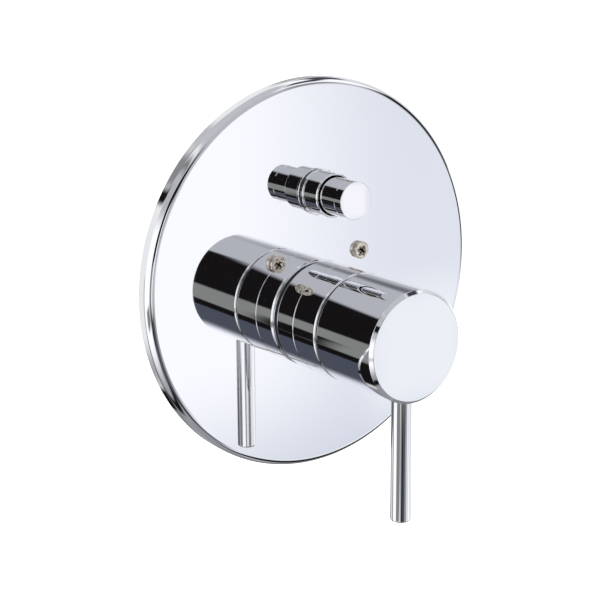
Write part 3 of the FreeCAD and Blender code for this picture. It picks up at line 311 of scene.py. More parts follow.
def nearest_edge(edges, place, flat):
    """Return the outline's edge that a face belongs to, from the face's place and direction."""
    best, nearest = None, math.inf
    for edge in edges:
        start, end = edge[:2]
        if edge_normal(start, end).dot(flat) < SAME_FACING:
            continue
        run = end - start
        share = min(max((place - start).dot(run) / run.length_squared, 0.0), 1.0)
        gap = (start + run * share - place).length
        if gap < nearest:
            best, nearest = edge, gap
    return best


def drill(obj, corners, origin, holes):
    """Drill round holes, given as (start, direction, radius, depth), into a form turned about y."""
    for start, direction, radius, depth in holes:
        bit = bmesh.new()
        turn = direction.to_track_quat("Z", "Y").to_matrix().to_4x4()
        place = Matrix.Translation(start + direction * depth / 2) @ turn
        bmesh.ops.create_cone(
            bit, cap_ends=True, segments=DRILL_SEGMENTS, radius1=radius, radius2=radius, depth=depth,
            matrix=place,
        )
        cut_away(obj, bit)
    walls = [(start, direction, radius) for start, direction, radius, _ in holes]
    true_normals(obj, outline_edges(corners), origin, INWARD, walls)


def cut_away(obj, cutter_form):
    """Cut a closed bmesh form out of an object, and free the form."""
    cutter = add_object("cutter", mesh_of(cutter_form, "cutter"))
    cut = obj.modifiers.new("cut", "BOOLEAN")
    cut.operation = "DIFFERENCE"
    cut.solver = "EXACT"
    cut.object = cutter
    apply_modifiers(obj)
    bpy.data.objects.remove(cutter)


def apply_modifiers(obj):
    """Turn an object's evaluated result into its own plain mesh."""
    bpy.context.view_layer.update()
    seen = obj.evaluated_get(bpy.context.evaluated_depsgraph_get())
    mesh = bpy.data.meshes.new_from_object(seen)
    obj.modifiers.clear()
    obj.data = mesh


# Finishes


def new_finish(name):
    """Return a new material with its tree, its shader and the object's own coordinates in metres."""
    material = bpy.data.materials.new(name)
    material.use_nodes = True
    tree = material.node_tree
    place = add_node(tree, "ShaderNodeTexCoord").outputs["Object"]
    return material, tree, tree.nodes["Principled BSDF"], place


def per_metre(size):
    """Return the texture scale that gives a pattern of that size, which is in metres."""
    return 1 / size


# Nearly all of a noise texture lies between these two values, and a wave texture repeats at this
# distance when its scale is 1
NOISE_LOW, NOISE_HIGH = 0.3, 0.7
WAVE_PERIOD = math.tau / 20


def uneven(tree, place, size, low, high):
    """Return a value that wanders between low and high over patches of one size, in metres."""
    patches = {"Vector": place, "Scale": per_metre(size), "Detail": 3.0}
    limits = {0: add_node(tree, "ShaderNodeTexNoise", patches), 1: NOISE_LOW, 2: NOISE_HIGH, 3: low, 4: high}
    return add_node(tree, "ShaderNodeMapRange", limits).outputs[0]


def two_tones(tree, place, size, dark, light):
    """Return a colour that wanders between two hex colours over patches of one size, in metres."""
    tone = uneven(tree, place, size, 0.0, 1.0)
    ends = {"Factor_Float": tone, "A_Color": linear(dark), "B_Color": linear(light)}
    return add_node(tree, "ShaderNodeMix", ends, data_type="RGBA").outputs[2]


def grained(tree, place, size, depth, strength, detail):
    """Return the normal of a surface whose grain has one size and depth, in metres."""
    grain = {"Vector": place, "Scale": per_metre(size), "Detail": detail}
    lumps = {"Strength": strength, "Distance": depth, "Height": add_node(tree, "ShaderNodeTexNoise", grain)}
    return add_node(tree, "ShaderNodeBump", lumps).outputs[0]


def set_looks(tree, shader, looks, metallic=0.0):
    """Link a shader's inputs to the looks, given by name, and say how metallic it is."""
    for name, value in looks.items():
        tree.links.new(value, shader.inputs[name])
    shader.inputs["Metallic"].default_value = metallic


def bright_chrome():
    """Make bright chrome plate on polished brass."""
    # A near perfect, faintly blue mirror. A slight waviness of the polished brass, some 3 mm from crest
    # to crest, is all that tells the eye that the mirror is a turned and buffed surface.
    material, tree, shader, place = new_finish("bright_chrome")
    look = bpy.context.scene.mixer_finishes
    shader.inputs["Base Color"].default_value = (*look.chrome, 1.0)
    haze = uneven(tree, place, 9 * MM, look.chrome_roughness * 0.8, look.chrome_roughness * 1.25)
    waves = grained(tree, place, 3 * MM, look.chrome_waviness, 1.0, 1.0)
    set_looks(tree, shader, {"Roughness": haze, "Normal": waves}, metallic=1.0)
    return material


def nickel_steel():
    """Make nickel plated steel for the plate's screws, with painted shade in the cross recess."""
    # Warmer and duller than the chrome beside it, with rings left by the lathe on each head. They are
    # drawn 1.6 mm apart, wider than the real ones, so that they show. Inside the cross the colour fades
    # to near black with depth below the head's face: painted shade in the recess.
    material, tree, shader, place = new_finish("nickel_steel")
    screw = middle_of_screw()
    reach = bpy.context.scene.mixer_screws.cross_reach + RECESS_SHADE_MARGIN
    split = add_node(tree, "ShaderNodeSeparateXYZ", {0: place})
    # The left screw's pattern is the right one's, mirrored in the plate's middle
    side = add_node(tree, "ShaderNodeMath", {0: split.outputs[0]}, operation="ABSOLUTE")
    folded = add_node(tree, "ShaderNodeCombineXYZ", {0: side, 1: split.outputs[2]})
    axis = (screw.x, screw.z, 0)
    centred = add_node(tree, "ShaderNodeVectorMath", {0: folded, 1: axis}, operation="SUBTRACT")
    spacing = {"Vector": centred, "Scale": WAVE_PERIOD * per_metre(1.57 * MM), "Distortion": 0.4}
    rings = add_node(tree, "ShaderNodeTexWave", spacing, wave_type="RINGS", rings_direction="SPHERICAL")
    plated = two_tones(tree, place, 1.2 * MM, "#DACFBE", "#F0E6D6")
    out = add_node(tree, "ShaderNodeVectorMath", {0: centred}, operation="LENGTH").outputs["Value"]
    inner = add_node(tree, "ShaderNodeMath", {0: out, 1: reach}, operation="LESS_THAN")
    # Painted shade: inside the cross, the colour goes to near black #12100D between these depths below the
    # head's face
    recess_shade_depths = {0: split.outputs[1], 1: screw.y + RECESS_SHADE_FROM, 2: screw.y + RECESS_SHADE_FULL}
    below = add_node(tree, "ShaderNodeMapRange", recess_shade_depths)
    recess_shade = add_node(tree, "ShaderNodeMath", {0: inner, 1: below}, operation="MULTIPLY")
    layers = {"Factor_Float": recess_shade, "A_Color": plated, "B_Color": linear("#12100D")}
    colour = add_node(tree, "ShaderNodeMix", layers, data_type="RGBA").outputs[2]
    rough = uneven(tree, place, 0.6 * MM, 0.18, 0.28)
    turned = {"Strength": 0.5, "Distance": 0.004 * MM, "Height": rings.outputs[1]}
    bump = add_node(tree, "ShaderNodeBump", turned).outputs[0]
    set_looks(tree, shader, {"Base Color": colour, "Roughness": rough, "Normal": bump}, metallic=1.0)
    return material


def cast_brass():
    """Make the shot blasted skin of a brass casting."""
    # A matt, pale yellow skin with a fine pebble from the shot, about 0.5 mm, over patches where the
    # metal has dulled. The pebble catches enough light to show that the piece was cast.
    material, tree, shader, place = new_finish("cast_brass")
    colour = two_tones(tree, place, 14 * MM, "#A88A52", "#C6A668")
    rough = uneven(tree, place, 4 * MM, 0.42, 0.58)
    pebble = grained(tree, place, 0.5 * MM, 0.06 * MM, 0.7, 4.0)
    set_looks(tree, shader, {"Base Color": colour, "Roughness": rough, "Normal": pebble}, metallic=1.0)
    return material


def machined(name, dark, light, roughness, mark, depth):
    """Make a machined metal whose tool marks have one spacing and depth, in metres."""
    material, tree, shader, place = new_finish(name)
    colour = two_tones(tree, place, 5 * MM, dark, light)
    rough = uneven(tree, place, 2 * MM, roughness * 0.8, roughness * 1.2)
    marks = grained(tree, place, mark, depth, 0.6, 2.0)
    set_looks(tree, shader, {"Base Color": colour, "Roughness": rough, "Normal": marks}, metallic=1.0)
    return material


def turned_brass():
    """Make brass as it comes from the lathe."""
    # Bright yellow metal fresh from the lathe, smoother and clearer than the cast skin beside it.
    return machined("turned_brass", "#B8944E", "#D9BA74", 0.22, 0.4 * MM, 0.006 * MM)


def spring_steel():
    """Make drawn stainless steel."""
    # Drawn stainless wire and ground pins: neutral grey with a satin gleam along the wire.
    return machined("spring_steel", "#8C8D8F", "#B4B5B6", 0.28, 0.3 * MM, 0.005 * MM)


def moulded(name, dark, light, roughness, grain, depth):
    """Make a moulded or pressed material with a surface grain of one size and depth, in metres."""
    material, tree, shader, place = new_finish(name)
    colour = two_tones(tree, place, 6 * MM, dark, light)
    rough = uneven(tree, place, 3 * MM, roughness * 0.85, roughness * 1.15)
    pores = grained(tree, place, grain, depth, 0.5, 3.0)
    set_looks(tree, shader, {"Base Color": colour, "Roughness": rough, "Normal": pores})
    return material


def black_rubber():
    """Make the rubber of the seals."""
    # Moulded EPDM: near black and dull, so the seals read as dark lines between the chrome rings.
    return moulded("black_rubber", "#0B0B0C", "#161617", 0.55, 0.3 * MM, 0.01 * MM)


def foam_gasket():
    """Make the foam of the plate's gasket."""
    # Closed cell foam: dark grey, quite matt, with cells of about 0.6 mm on its cut faces.
    return moulded("foam_gasket", "#2A2A2C", "#3E3E41", 0.9, 0.6 * MM, 0.12 * MM)


def white_acetal():
    """Make the cartridge's white acetal."""
    # Moulded acetal: milky white with a waxy sheen, as cartridge housings have.
    return moulded("white_acetal", "#D2D1CA", "#E2E1DB", 0.34, 0.8 * MM, 0.01 * MM)


def red_acetal():
    """Make the stop ring's red acetal."""
    # The same acetal, dyed red to mark the stop ring that limits the heat.
    return moulded("red_acetal", "#9E211C", "#B32B24", 0.34, 0.8 * MM, 0.01 * MM)


def alumina_ceramic():
    """Make the ceramic of the cartridge's discs."""
    # Lapped alumina: hard, ivory white and glossy, since the discs seal face to face.
    return moulded("alumina_ceramic", "#DEDACF", "#EAE6DC", 0.14, 0.2 * MM, 0.002 * MM)


def fibre_washer():
    """Make the red fibre of the bonnet's washer."""
    # Pressed vulcanised fibre: brick red and matt, with short fibres that show as flecks.
    return moulded("fibre_washer", "#6E2B20", "#8F4030", 0.75, 0.35 * MM, 0.04 * MM)


FINISHES = {
    "polished_chrome": bright_chrome,
    "nickel_steel": nickel_steel,
    "spring_steel": spring_steel,
    "cast_brass": cast_brass,
    "turned_brass": turned_brass,
    "black_rubber": black_rubber,
    "foam_gasket": foam_gasket,
    "white_acetal": white_acetal,
    "red_acetal": red_acetal,
    "alumina_ceramic": alumina_ceramic,
    "fibre_washer": fibre_washer,
}


def finish(slot):
    """Return the material of one of the record's slots, made when it is first asked for."""
    if slot not in MADE_FINISHES:
        MADE_FINISHES[slot] = FINISHES[slot]()
    return MADE_FINISHES[slot]


MADE_FINISHES = {}
SLOT_OF = {part["node"]: part["material_slot"] for part in frame["record"]["subparts"]}
BODY_OF = {node: body for body, nodes in frame["record"]["behaviour"]["bodies"].items() for node in nodes}


def middle_of_screw():
    """Return the centre of the right screw's head."""
    reach = SCREWS_BOX[1] - SCREWS_BOX[0]
    radius = reach.z / 2
    return Vector((SCREWS_BOX[1].x - radius, SCREWS_BOX[0].y, SCREWS_BOX[0].z + radius))


def stand_for(obj, node):
    """Dress an object in its node's finish, and let it ride and stand for the node it replaces."""
    slot = SLOT_OF[node]
    if not obj.data.materials:
        obj.data.materials.append(finish(slot))
    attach(obj, BODY_OF[node])
    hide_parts(node)


# Threads and other repeats


def thread_tree():
    """Build the tree that winds a thread's ridge and sets one at each point, along the point's facing."""
    tree = bpy.data.node_groups.new("thread_ridges", "GeometryNodeTree")
    sockets = {}
    tree.interface.new_socket("Geometry", in_out="INPUT", socket_type="NodeSocketGeometry")
    for name, kind in (
        ("Ridge centre radius", "Float"), ("Ridge radius", "Float"), ("Length", "Float"), ("Turns", "Float"),
        ("Steps a turn", "Int"), ("Sides", "Int"), ("Finish", "Material"),
    ):
        item = tree.interface.new_socket(name, in_out="INPUT", socket_type="NodeSocket" + kind)
        sockets[name] = item.identifier
    tree.interface.new_socket("Geometry", in_out="OUTPUT", socket_type="NodeSocketGeometry")
    given = tree.nodes.new("NodeGroupInput").outputs
    coil = add_node(tree, "GeometryNodeCurveSpiral", {
        0: given["Steps a turn"], 1: given["Turns"], 2: given["Ridge centre radius"],
        3: given["Ridge centre radius"], 4: given["Length"],
    })
    outline = {"Resolution": given["Sides"], "Radius": given["Ridge radius"]}
    section = add_node(tree, "GeometryNodeCurvePrimitiveCircle", outline)
    ridge = add_node(tree, "GeometryNodeCurveToMesh", {0: coil, 1: section, 3: True})
    facing = add_node(tree, "GeometryNodeInputNamedAttribute", {0: "facing"}, data_type="FLOAT_VECTOR")
    turn = add_node(tree, "FunctionNodeAlignRotationToVector", {2: facing}, axis="Z")
    ridges = add_node(tree, "GeometryNodeInstanceOnPoints", {0: given["Geometry"], 2: ridge, 5: turn})
    solid = add_node(tree, "GeometryNodeRealizeInstances", {0: ridges})
    dressed = add_node(tree, "GeometryNodeSetMaterial", {0: solid, 2: given["Finish"]})
    add_node(tree, "NodeGroupOutput", {0: dressed})
    return tree, sockets


def wind_threads(name, starts, values):
    """Make the ridges of like threads, from (place, direction) starts and the tree's input values."""
    mesh = bpy.data.meshes.new(name)
    mesh.from_pydata([place for place, _ in starts], [], [])
    facing = mesh.attributes.new("facing", "FLOAT_VECTOR", "POINT")
    for item, (_, direction) in zip(facing.data, starts):
        item.vector = direction
    obj = add_object(name, mesh)
    tree, sockets = thread_tree()
    wind = obj.modifiers.new("wind", "NODES")
    wind.node_group = tree
    for key, value in values.items():
        wind[sockets[key]] = value
    apply_modifiers(obj)
    obj.data.shade_smooth()
    return obj


# Sizes and looks that a user may change


def length_property(name, description, default):
    """Return a length property, in metres."""
    return bpy.props.FloatProperty(
        name=name, description=description, default=default, min=0.0, precision=5, subtype="DISTANCE"
    )


def place_property(name, description, default):
    """Return a property for a place along an axis, in metres, which may be negative."""
    return bpy.props.FloatProperty(name=name, description=description, default=default, subtype="DISTANCE")


def angle_property(name, description, degrees):
    """Return an angle property, given in degrees."""
    return bpy.props.FloatProperty(
        name=name, description=description, default=math.radians(degrees), subtype="ANGLE"
    )


def tone_property(name, description, default):
    """Return a colour property, given in sRGB hex."""
    return bpy.props.FloatVectorProperty(
        name=name, description=description, default=linear(default)[:3], min=0.0, max=1.0, subtype="COLOR"
    )


class MixerTrimSizes(bpy.types.PropertyGroup):
    """Edges of the chrome trim, which the frame's boxes don't give."""

    plate_edge: length_property("Plate edge", "Radius of the plate's front edge", 3.34 * MM)
    plate_sheet: length_property("Plate sheet", "Thickness of the plate's sheet", 1.4 * MM)
    plate_rim: length_property("Plate rim", "Radius where the rim is trimmed", 0.3 * MM)
    screw_hole_gap: length_property("Screw hole gap", "Clearance round each plate screw", 0.3 * MM)
    sleeve_foot: length_property("Sleeve foot", "Radius of the sleeve's rear edge", 1.4 * MM)
    sleeve_seam: length_property("Sleeve seam", "Radius of both edges at the seam", 0.25 * MM)
    sleeve_front: length_property("Sleeve front", "Radius of the sleeve's front edge", 0.8 * MM)
    sleeve_lip: length_property("Sleeve lip", "Thickness of the sleeve's front lip", 2.0 * MM)
    cap_bevel: length_property("Cap bevel", "Width of the bevel round the cap's face", 1.32 * MM)
    cap_front: length_property("Cap front", "Radius of both edges of the cap's bevel", 0.35 * MM)
    cap_rear: length_property("Cap rear", "Radius of the cap's rear edge", 0.8 * MM)
    cap_wall: length_property("Cap wall", "Thickness of the cap's wall", 3.2 * MM)
    pin_tip: length_property("Pin tip", "Radius of the pin's tip edge", 0.9 * MM)
    collar_edge: length_property("Collar edge", "Radius of the collar's front edge", 0.6 * MM)
    collar_mouth: length_property("Collar mouth", "Radius of the edge of the collar's bore", 0.2 * MM)
    foot_step: length_property("Collar foot step", "How far the collar's foot stands out", 0.45 * MM)
    foot_length: length_property("Collar foot length", "Length of the collar's foot", 1.6 * MM)
    foot_edge: length_property("Collar foot edge", "Radius of both edges of the collar's foot", 0.4 * MM)
    knob_face: length_property("Knob face", "Radius of the knob's face edge", 0.2 * MM)
    knob_rear: length_property("Knob rear", "Radius of the knob's rear edge", 0.4 * MM)
    knob_groove_at: length_property("Knob groove", "How far the groove is behind the face", 4.4 * MM)
    knob_groove_width: length_property("Knob groove width", "Width of the knob's groove", 0.5 * MM)
    knob_groove_depth: length_property("Knob groove depth", "Depth of the knob's groove", 0.3 * MM)


class MixerScrewSizes(bpy.types.PropertyGroup):
    """The two plate screws and the pipe threads."""

    head_height: length_property("Head height", "Height of a screw's head", 2.2 * MM)
    head_edge: length_property("Head edge", "Radius of a head's edge", 0.6 * MM)
    core: length_property("Core radius", "Radius of the screw under its thread", 1.62 * MM)
    outer: length_property("Thread radius", "Radius over the screw's thread", 1.95 * MM)
    pitch: length_property("Screw pitch", "Pitch of the M4 thread", 0.7 * MM)
    cross_reach: length_property("Cross reach", "Radius that the cross recess reaches", 1.9 * MM)
    cross_width: length_property("Cross width", "Width of each arm of the cross", 1.0 * MM)
    cross_depth: length_property("Cross depth", "Depth of the cross recess", 1.7 * MM)
    cross_turn: angle_property("Cross turn", "How far the cross is turned", 38)
    pipe_pitch: length_property("Pipe pitch", "Pitch of the G1/2 thread", 1.814 * MM)
    pipe_ridge: length_property("Pipe ridge", "How far a pipe thread's ridge stands in", 0.3 * MM)


class MixerFinishes(bpy.types.PropertyGroup):
    """What the chrome looks like."""

    chrome: tone_property("Chrome", "Colour that the chrome gives to what it reflects", "#F7F7F9")
    chrome_roughness: bpy.props.FloatProperty(
        name="Chrome roughness", description="How far the mirror is from perfect", default=0.022,
        min=0.0, max=1.0,
    )
    chrome_waviness: length_property("Chrome waviness", "Height of the buffed waves", 0.0004 * MM)


class MixerStudio(bpy.types.PropertyGroup):
    """The camera and the light."""

    azimuth: angle_property("Azimuth", "How far the camera is round to the right", -36.14)
    elevation: angle_property("Elevation", "How far the camera is above the horizon", 14.83)
    roll: angle_property("Roll", "How far the camera is tilted", -0.36)
    distance: length_property("Distance", "From the aim to the camera", 680.5 * MM)
    aim_across: place_property("Aim across", "The aim's place to the right", -4.44 * MM)
    aim_up: place_property("Aim up", "The aim's height", -11.62 * MM)
    lens: bpy.props.FloatProperty(
        name="Lens", description="Focal length in millimetres on a 36 mm frame", default=94.1, min=1.0
    )
    floor: length_property("Floor", "How far the floor is below the plate's centre", 0.30)


# The pieces


class MIXER_OT_wall_plate(bpy.types.Operator):
    """Make the dished wall plate, spun from chromed sheet"""

    bl_idname = "mixer.wall_plate"
    bl_label = "Wall plate"

    def execute(self, context):
        sizes = context.scene.mixer_trim
        radius = PLATE_BOX[1].x
        face, back = front_and_rear("escutcheon_plate")
        inner = radius - sizes.plate_sheet
        corners = [
            (0, face, 0),
            (radius, face, sizes.plate_edge),
            (radius, back, sizes.plate_rim),
            (inner, back, sizes.plate_rim),
            (inner, face + sizes.plate_sheet, sizes.plate_edge - sizes.plate_sheet),
            (0, face + sizes.plate_sheet, 0),
        ]
        plate = turn_form("wall_plate", corners, Vector((0, 0, 0)))
        screw = middle_of_screw()
        screw_hole = context.scene.mixer_screws.outer + sizes.screw_hole_gap
        bores = [
            (HANDLE_AXIS, ring_radii("sleeve_seal", HANDLE_AXIS)[0] + PLATE_HOLE_GAP),
            (DIVERTER_AXIS, ring_radii("diverter_seal", DIVERTER_AXIS)[0] + PLATE_HOLE_GAP),
            (Vector((screw.x, 0, screw.z)), screw_hole),
            (Vector((-screw.x, 0, screw.z)), screw_hole),
        ]
        start = INWARD * (face - DRILL_OVERRUN)
        depth = sizes.plate_sheet + 2 * DRILL_OVERRUN
        holes = [(axis + start, INWARD, hole, depth) for axis, hole in bores]
        drill(plate, corners, Vector((0, 0, 0)), holes)
        stand_for(plate, "escutcheon_plate")
        return {"FINISHED"}


class MIXER_OT_sleeves(bpy.types.Operator):
    """Make the two chrome rings that cover the valve's neck"""

    bl_idname = "mixer.sleeves"
    bl_label = "Sleeve rings"

    def execute(self, context):
        sizes = context.scene.mixer_trim
        bore, radius = ring_radii("sleeve_base", HANDLE_AXIS)
        front, rear = front_and_rear("sleeve_base")
        corners = [
            (bore, front, 0),
            (radius, front, sizes.sleeve_seam),
            (radius, rear, sizes.sleeve_foot),
            (bore, rear, 0),
        ]
        stand_for(turn_form("sleeve_foot_ring", corners, HANDLE_AXIS), "sleeve_base")
        lip = ring_radii("sleeve_collar", HANDLE_AXIS)[0]
        front, rear = front_and_rear("sleeve_collar")
        corners = [
            (lip, front, 0),
            (radius, front, sizes.sleeve_front),
            (radius, rear, sizes.sleeve_seam),
            (bore, rear, 0),
            (bore, front + sizes.sleeve_lip, 0),
            (lip, front + sizes.sleeve_lip, 0),
        ]
        stand_for(turn_form("sleeve_front_ring", corners, HANDLE_AXIS), "sleeve_collar")
        return {"FINISHED"}


class MIXER_OT_handle(bpy.types.Operator):
    """Make the turned cap with its socket, and the pin that turns it"""

    bl_idname = "mixer.handle"
    bl_label = "Handle"

    def execute(self, context):
        sizes = context.scene.mixer_trim
        radius = HANDLE_BOX[1].x
        front, rear = front_and_rear("handle_body")
        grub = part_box("handle_grub_screw")
        hub = HANDLE_AXIS.z - grub[0].z
        cavity = CAP_SOLID_FRONT + front
        corners = [
            (0, front, 0),
            (radius - sizes.cap_bevel, front, sizes.cap_front),
            (radius, front + sizes.cap_bevel, sizes.cap_front),
            (radius, rear, sizes.cap_rear),
            (radius - sizes.cap_wall, rear, 0),
            (radius - sizes.cap_wall, cavity, CAP_CAVITY_ROUND),
            (hub, cavity, CAP_CAVITY_ROUND),
            (hub, rear, 0),
            (0, rear, 0),
        ]
        cap = turn_form("handle_cap", corners, HANDLE_AXIS)
        pin_radius = LEVER_BOX[1].x
        pin_axis = Vector((0, middle(LEVER_BOX).y, 0))
        key_axis = Vector((0, middle(grub).y, 0))
        tip, stub_top = LEVER_BOX[0].z, LEVER_BOX[1].z
        seat = stub_top - PIN_STUB_LENGTH
        below = HANDLE_AXIS.z - radius - DRILL_OVERRUN
        holes = [
            (key_axis + UP * below, UP, KEY_HOLE_RADIUS, radius - hub + DRILL_OVERRUN),
            (pin_axis + UP * below, UP, pin_radius + SOCKET_GAP, seat - below),
            (pin_axis + UP * below, UP, PIN_STUB_RADIUS + SOCKET_GAP, stub_top + SOCKET_GAP - below),
        ]
        drill(cap, corners, HANDLE_AXIS, holes)
        stand_for(cap, "handle_body")
        corners = [
            (0, tip, 0),
            (pin_radius, tip, sizes.pin_tip),
            (pin_radius, seat, 0),
            (PIN_STUB_RADIUS, seat, 0),
            (PIN_STUB_RADIUS, stub_top, 0),
            (0, stub_top, 0),
        ]
        pin = turn_form("handle_pin", corners, pin_axis, UP, TURNED_SEGMENTS // 2)
        stand_for(pin, "handle_lever")
        return {"FINISHED"}


class MIXER_OT_diverter_trim(bpy.types.Operator):
    """Make the diverter's chrome collar and its grooved knob"""

    bl_idname = "mixer.diverter_trim"
    bl_label = "Diverter collar and knob"

    def execute(self, context):
        sizes = context.scene.mixer_trim
        bore, foot = ring_radii("diverter_collar", DIVERTER_AXIS)
        radius = foot - sizes.foot_step
        front, rear = front_and_rear("diverter_collar")
        shoulder = rear - sizes.foot_length
        corners = [
            (bore, front, sizes.collar_mouth),
            (radius, front, sizes.collar_edge),
            (radius, shoulder, 0),
            (foot, shoulder, sizes.foot_edge),
            (foot, rear, sizes.foot_edge),
            (bore, rear, 0),
        ]
        stand_for(turn_form("diverter_ring", corners, DIVERTER_AXIS), "diverter_collar")
        radius = KNOB_BOX[1].x
        front, rear = front_and_rear("diverter_knob")
        groove = front + sizes.knob_groove_at
        half = sizes.knob_groove_width / 2
        stem_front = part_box("diverter_spool")[0].y
        corners = [
            (0, front, 0),
            (radius, front, sizes.knob_face),
            (radius, groove - half, 0),
            (radius - sizes.knob_groove_depth, groove, 0),
            (radius, groove + half, 0),
            (radius, rear, sizes.knob_rear),
            (radius - KNOB_SKIRT_WALL, rear, 0),
            (radius - KNOB_SKIRT_WALL, rear - KNOB_SKIRT_DEPTH, 0),
            (KNOB_BORE_RADIUS, rear - KNOB_SKIRT_DEPTH, 0),
            (KNOB_BORE_RADIUS, stem_front - KNOB_BORE_GAP, 0),
            (0, stem_front - KNOB_BORE_GAP, 0),
        ]
        stand_for(turn_form("diverter_pull_knob", corners, DIVERTER_AXIS), "diverter_knob")
        return {"FINISHED"}


class MIXER_OT_plate_screws(bpy.types.Operator):
    """Make the two cross head screws, with their threads"""

    bl_idname = "mixer.plate_screws"
    bl_label = "Plate screws"

    def execute(self, context):
        sizes = context.scene.mixer_screws
        place = middle_of_screw()
        head_radius = place.z - SCREWS_BOX[0].z
        shoulder = sizes.head_height
        length = SCREWS_BOX[1].y - SCREWS_BOX[0].y
        corners = [
            (0, 0, 0),
            (head_radius, 0, sizes.head_edge),
            (head_radius, shoulder, 0),
            (sizes.core, shoulder, 0),
            (sizes.core, length, sizes.head_edge),
            (0, length, 0),
        ]
        screw = turn_form("plate_screw", corners, Vector((0, 0, 0)), INWARD, TURNED_SEGMENTS // 4)
        cut_away(screw, cross_bit(sizes))
        mesh = screw.data
        bpy.data.objects.remove(screw)
        both = bmesh.new()
        heads = [Vector((side * place.x, place.y, place.z)) for side in (-1, 1)]
        for head in heads:
            mesh.transform(Matrix.Translation(head))
            both.from_mesh(mesh)
            mesh.transform(Matrix.Translation(-head))
        ridge = (sizes.outer - sizes.core) / 2 * SCREW_RIDGE_FULLNESS
        starts = [(head + INWARD * (shoulder + sizes.pitch), INWARD) for head in heads]
        run = length - shoulder - 2 * sizes.pitch - sizes.head_edge
        threads = wind_threads("screw_threads", starts, {
            "Ridge centre radius": sizes.outer - ridge,
            "Ridge radius": ridge,
            "Length": run,
            "Turns": run / sizes.pitch,
            "Steps a turn": SCREW_THREAD_STEPS,
            "Sides": SCREW_THREAD_SIDES,
            "Finish": finish("nickel_steel"),
        })
        both.from_mesh(threads.data)
        bpy.data.objects.remove(threads)
        joined = mesh_of(both, "plate_screw_pair")
        joined.set_sharp_from_angle(angle=SHARP_ANGLE)
        stand_for(add_object("plate_screw_pair", joined), "plate_screws")
        return {"FINISHED"}


def cross_bit(sizes):
    """Return the tapered cross that the screwdriver's recess is cut with, its mouth at the origin."""
    bit = bmesh.new()
    half, reach, depth = sizes.cross_width / 2, sizes.cross_reach, sizes.cross_depth
    rim = []
    for quarter in range(4):
        turn = Matrix.Rotation(quarter * math.pi / 2 + sizes.cross_turn, 3, "Y")
        rim += [turn @ Vector(corner) for corner in ((half, 0, half), (reach, 0, half), (reach, 0, -half))]
    order = sorted(rim, key=lambda corner: math.atan2(corner.z, corner.x))
    mouth = [bit.verts.new(corner - INWARD * DRILL_OVERRUN) for corner in order]
    level = [bit.verts.new((corner + INWARD * depth) * CROSS_FLOOR_SHARE) for corner in order]
    tip = bit.verts.new(INWARD * depth)
    count = len(order)
    for i in range(count):
        k = (i + 1) % count
        bit.faces.new([mouth[i], mouth[k], level[k], level[i]])
        bit.faces.new([level[i], level[k], tip])
    bit.faces.new(mouth)
    bmesh.ops.recalc_face_normals(bit, faces=bit.faces)
    return bit


class MIXER_OT_valve_body(bpy.types.Operator):
    """Make the cast brass body, with machined ports and their pipe threads"""

    bl_idname = "mixer.valve_body"
    bl_label = "Valve body"

    def execute(self, context):
        body = merged_copy("valve_body", "brass_body")
        body.data.materials.append(finish("cast_brass"))
        body.data.materials.append(finish("turned_brass"))
        for face in body.data.polygons:
            face.material_index = int(is_machined(face))
        stand_for(body, "valve_body")
        sizes = context.scene.mixer_screws
        starts = [(place + axis * reach / 2, -axis) for place, axis, _, reach in PORTS]
        _, _, radius, reach = PORTS[0]
        ridge = sizes.pipe_ridge * PIPE_RIDGE_FULLNESS
        ridges = wind_threads("port_threads", starts, {
            "Ridge centre radius": radius - sizes.pipe_ridge + ridge,
            "Ridge radius": ridge,
            "Length": reach,
            "Turns": reach / sizes.pipe_pitch,
            "Steps a turn": PIPE_THREAD_STEPS,
            "Sides": PIPE_THREAD_SIDES,
            "Finish": finish("turned_brass"),
        })
        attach(ridges, BODY_OF["valve_body"])
        return {"FINISHED"}


def merged_copy(node, name):
    """Return a copy of a CAD node whose loose triangles are joined and smooth, with sharp edges kept."""
    form = bmesh.new()
    form.from_mesh(frame["nodes"][node].data)
    bmesh.ops.remove_doubles(form, verts=form.verts, dist=WELD_DISTANCE)
    mesh = mesh_of(form, name)
    mesh.shade_smooth()
    mesh.set_sharp_from_angle(angle=SHARP_ANGLE)
    return add_object(name, mesh)


def mount_axis(mount):
    """Return a threaded mount's place, direction, radius and length, in metres."""
    dims = mount["dims"]
    return Vector(mount["pos_m"]), Vector(mount["axis"]), dims["r_mm"] * MM, dims["length_mm"] * MM


PORTS = [mount_axis(mount) for mount in frame["record"]["mounts"] if mount["kind"] == "threaded_hole"]


def is_machined(face):
    """Tell whether a face of the casting is cut rather than cast, by where it lies."""
    centre = face.center
    for place, axis, radius, reach in PORTS:
        offset = centre - place
        height = offset.dot(axis)
        out = (offset - axis * height).length
        if height > -reach and out < radius + BORE_MARGIN:
            return True
        if height > reach / 2 and face.normal.dot(axis) > math.cos(SHARP_ANGLE):
            return True
    bore = math.hypot(centre.x - HANDLE_AXIS.x, centre.z - HANDLE_AXIS.z) < NECK_RADIUS
    return bore and centre.y < NECK_ROOT_Y


class MIXER_OT_return_spring(bpy.types.Operator):
    """Make the spring that draws the diverter back, as a merged and smooth copy of its node; the real spring
    shortens as the knob is pulled
    """

    bl_idname = "mixer.return_spring"
    bl_label = "Return spring"

    def execute(self, context):
        spring = merged_copy("diverter_spring", "return_spring")
        stand_for(spring, "diverter_spring")
        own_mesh(spring)
        return {"FINISHED"}


class MIXER_OT_inner_parts(bpy.types.Operator):
    """Give the seals and all the working parts their real finishes"""

    bl_idname = "mixer.inner_parts"
    bl_label = "Inner parts"

    def execute(self, context):
        for node, obj in frame["nodes"].items():
            if not obj.hide_render:
                for holder in obj.material_slots:
                    holder.material = finish(SLOT_OF[node])
        return {"FINISHED"}


# The studio

# A panel of the studio that the chrome mirrors. Its place and half sizes are in the wall's own
# coordinates, its turn is in degrees, and each pair of edges has its own softness.
Panel = namedtuple("Panel", "name across up half_across half_up turn soft_across soft_up colour")

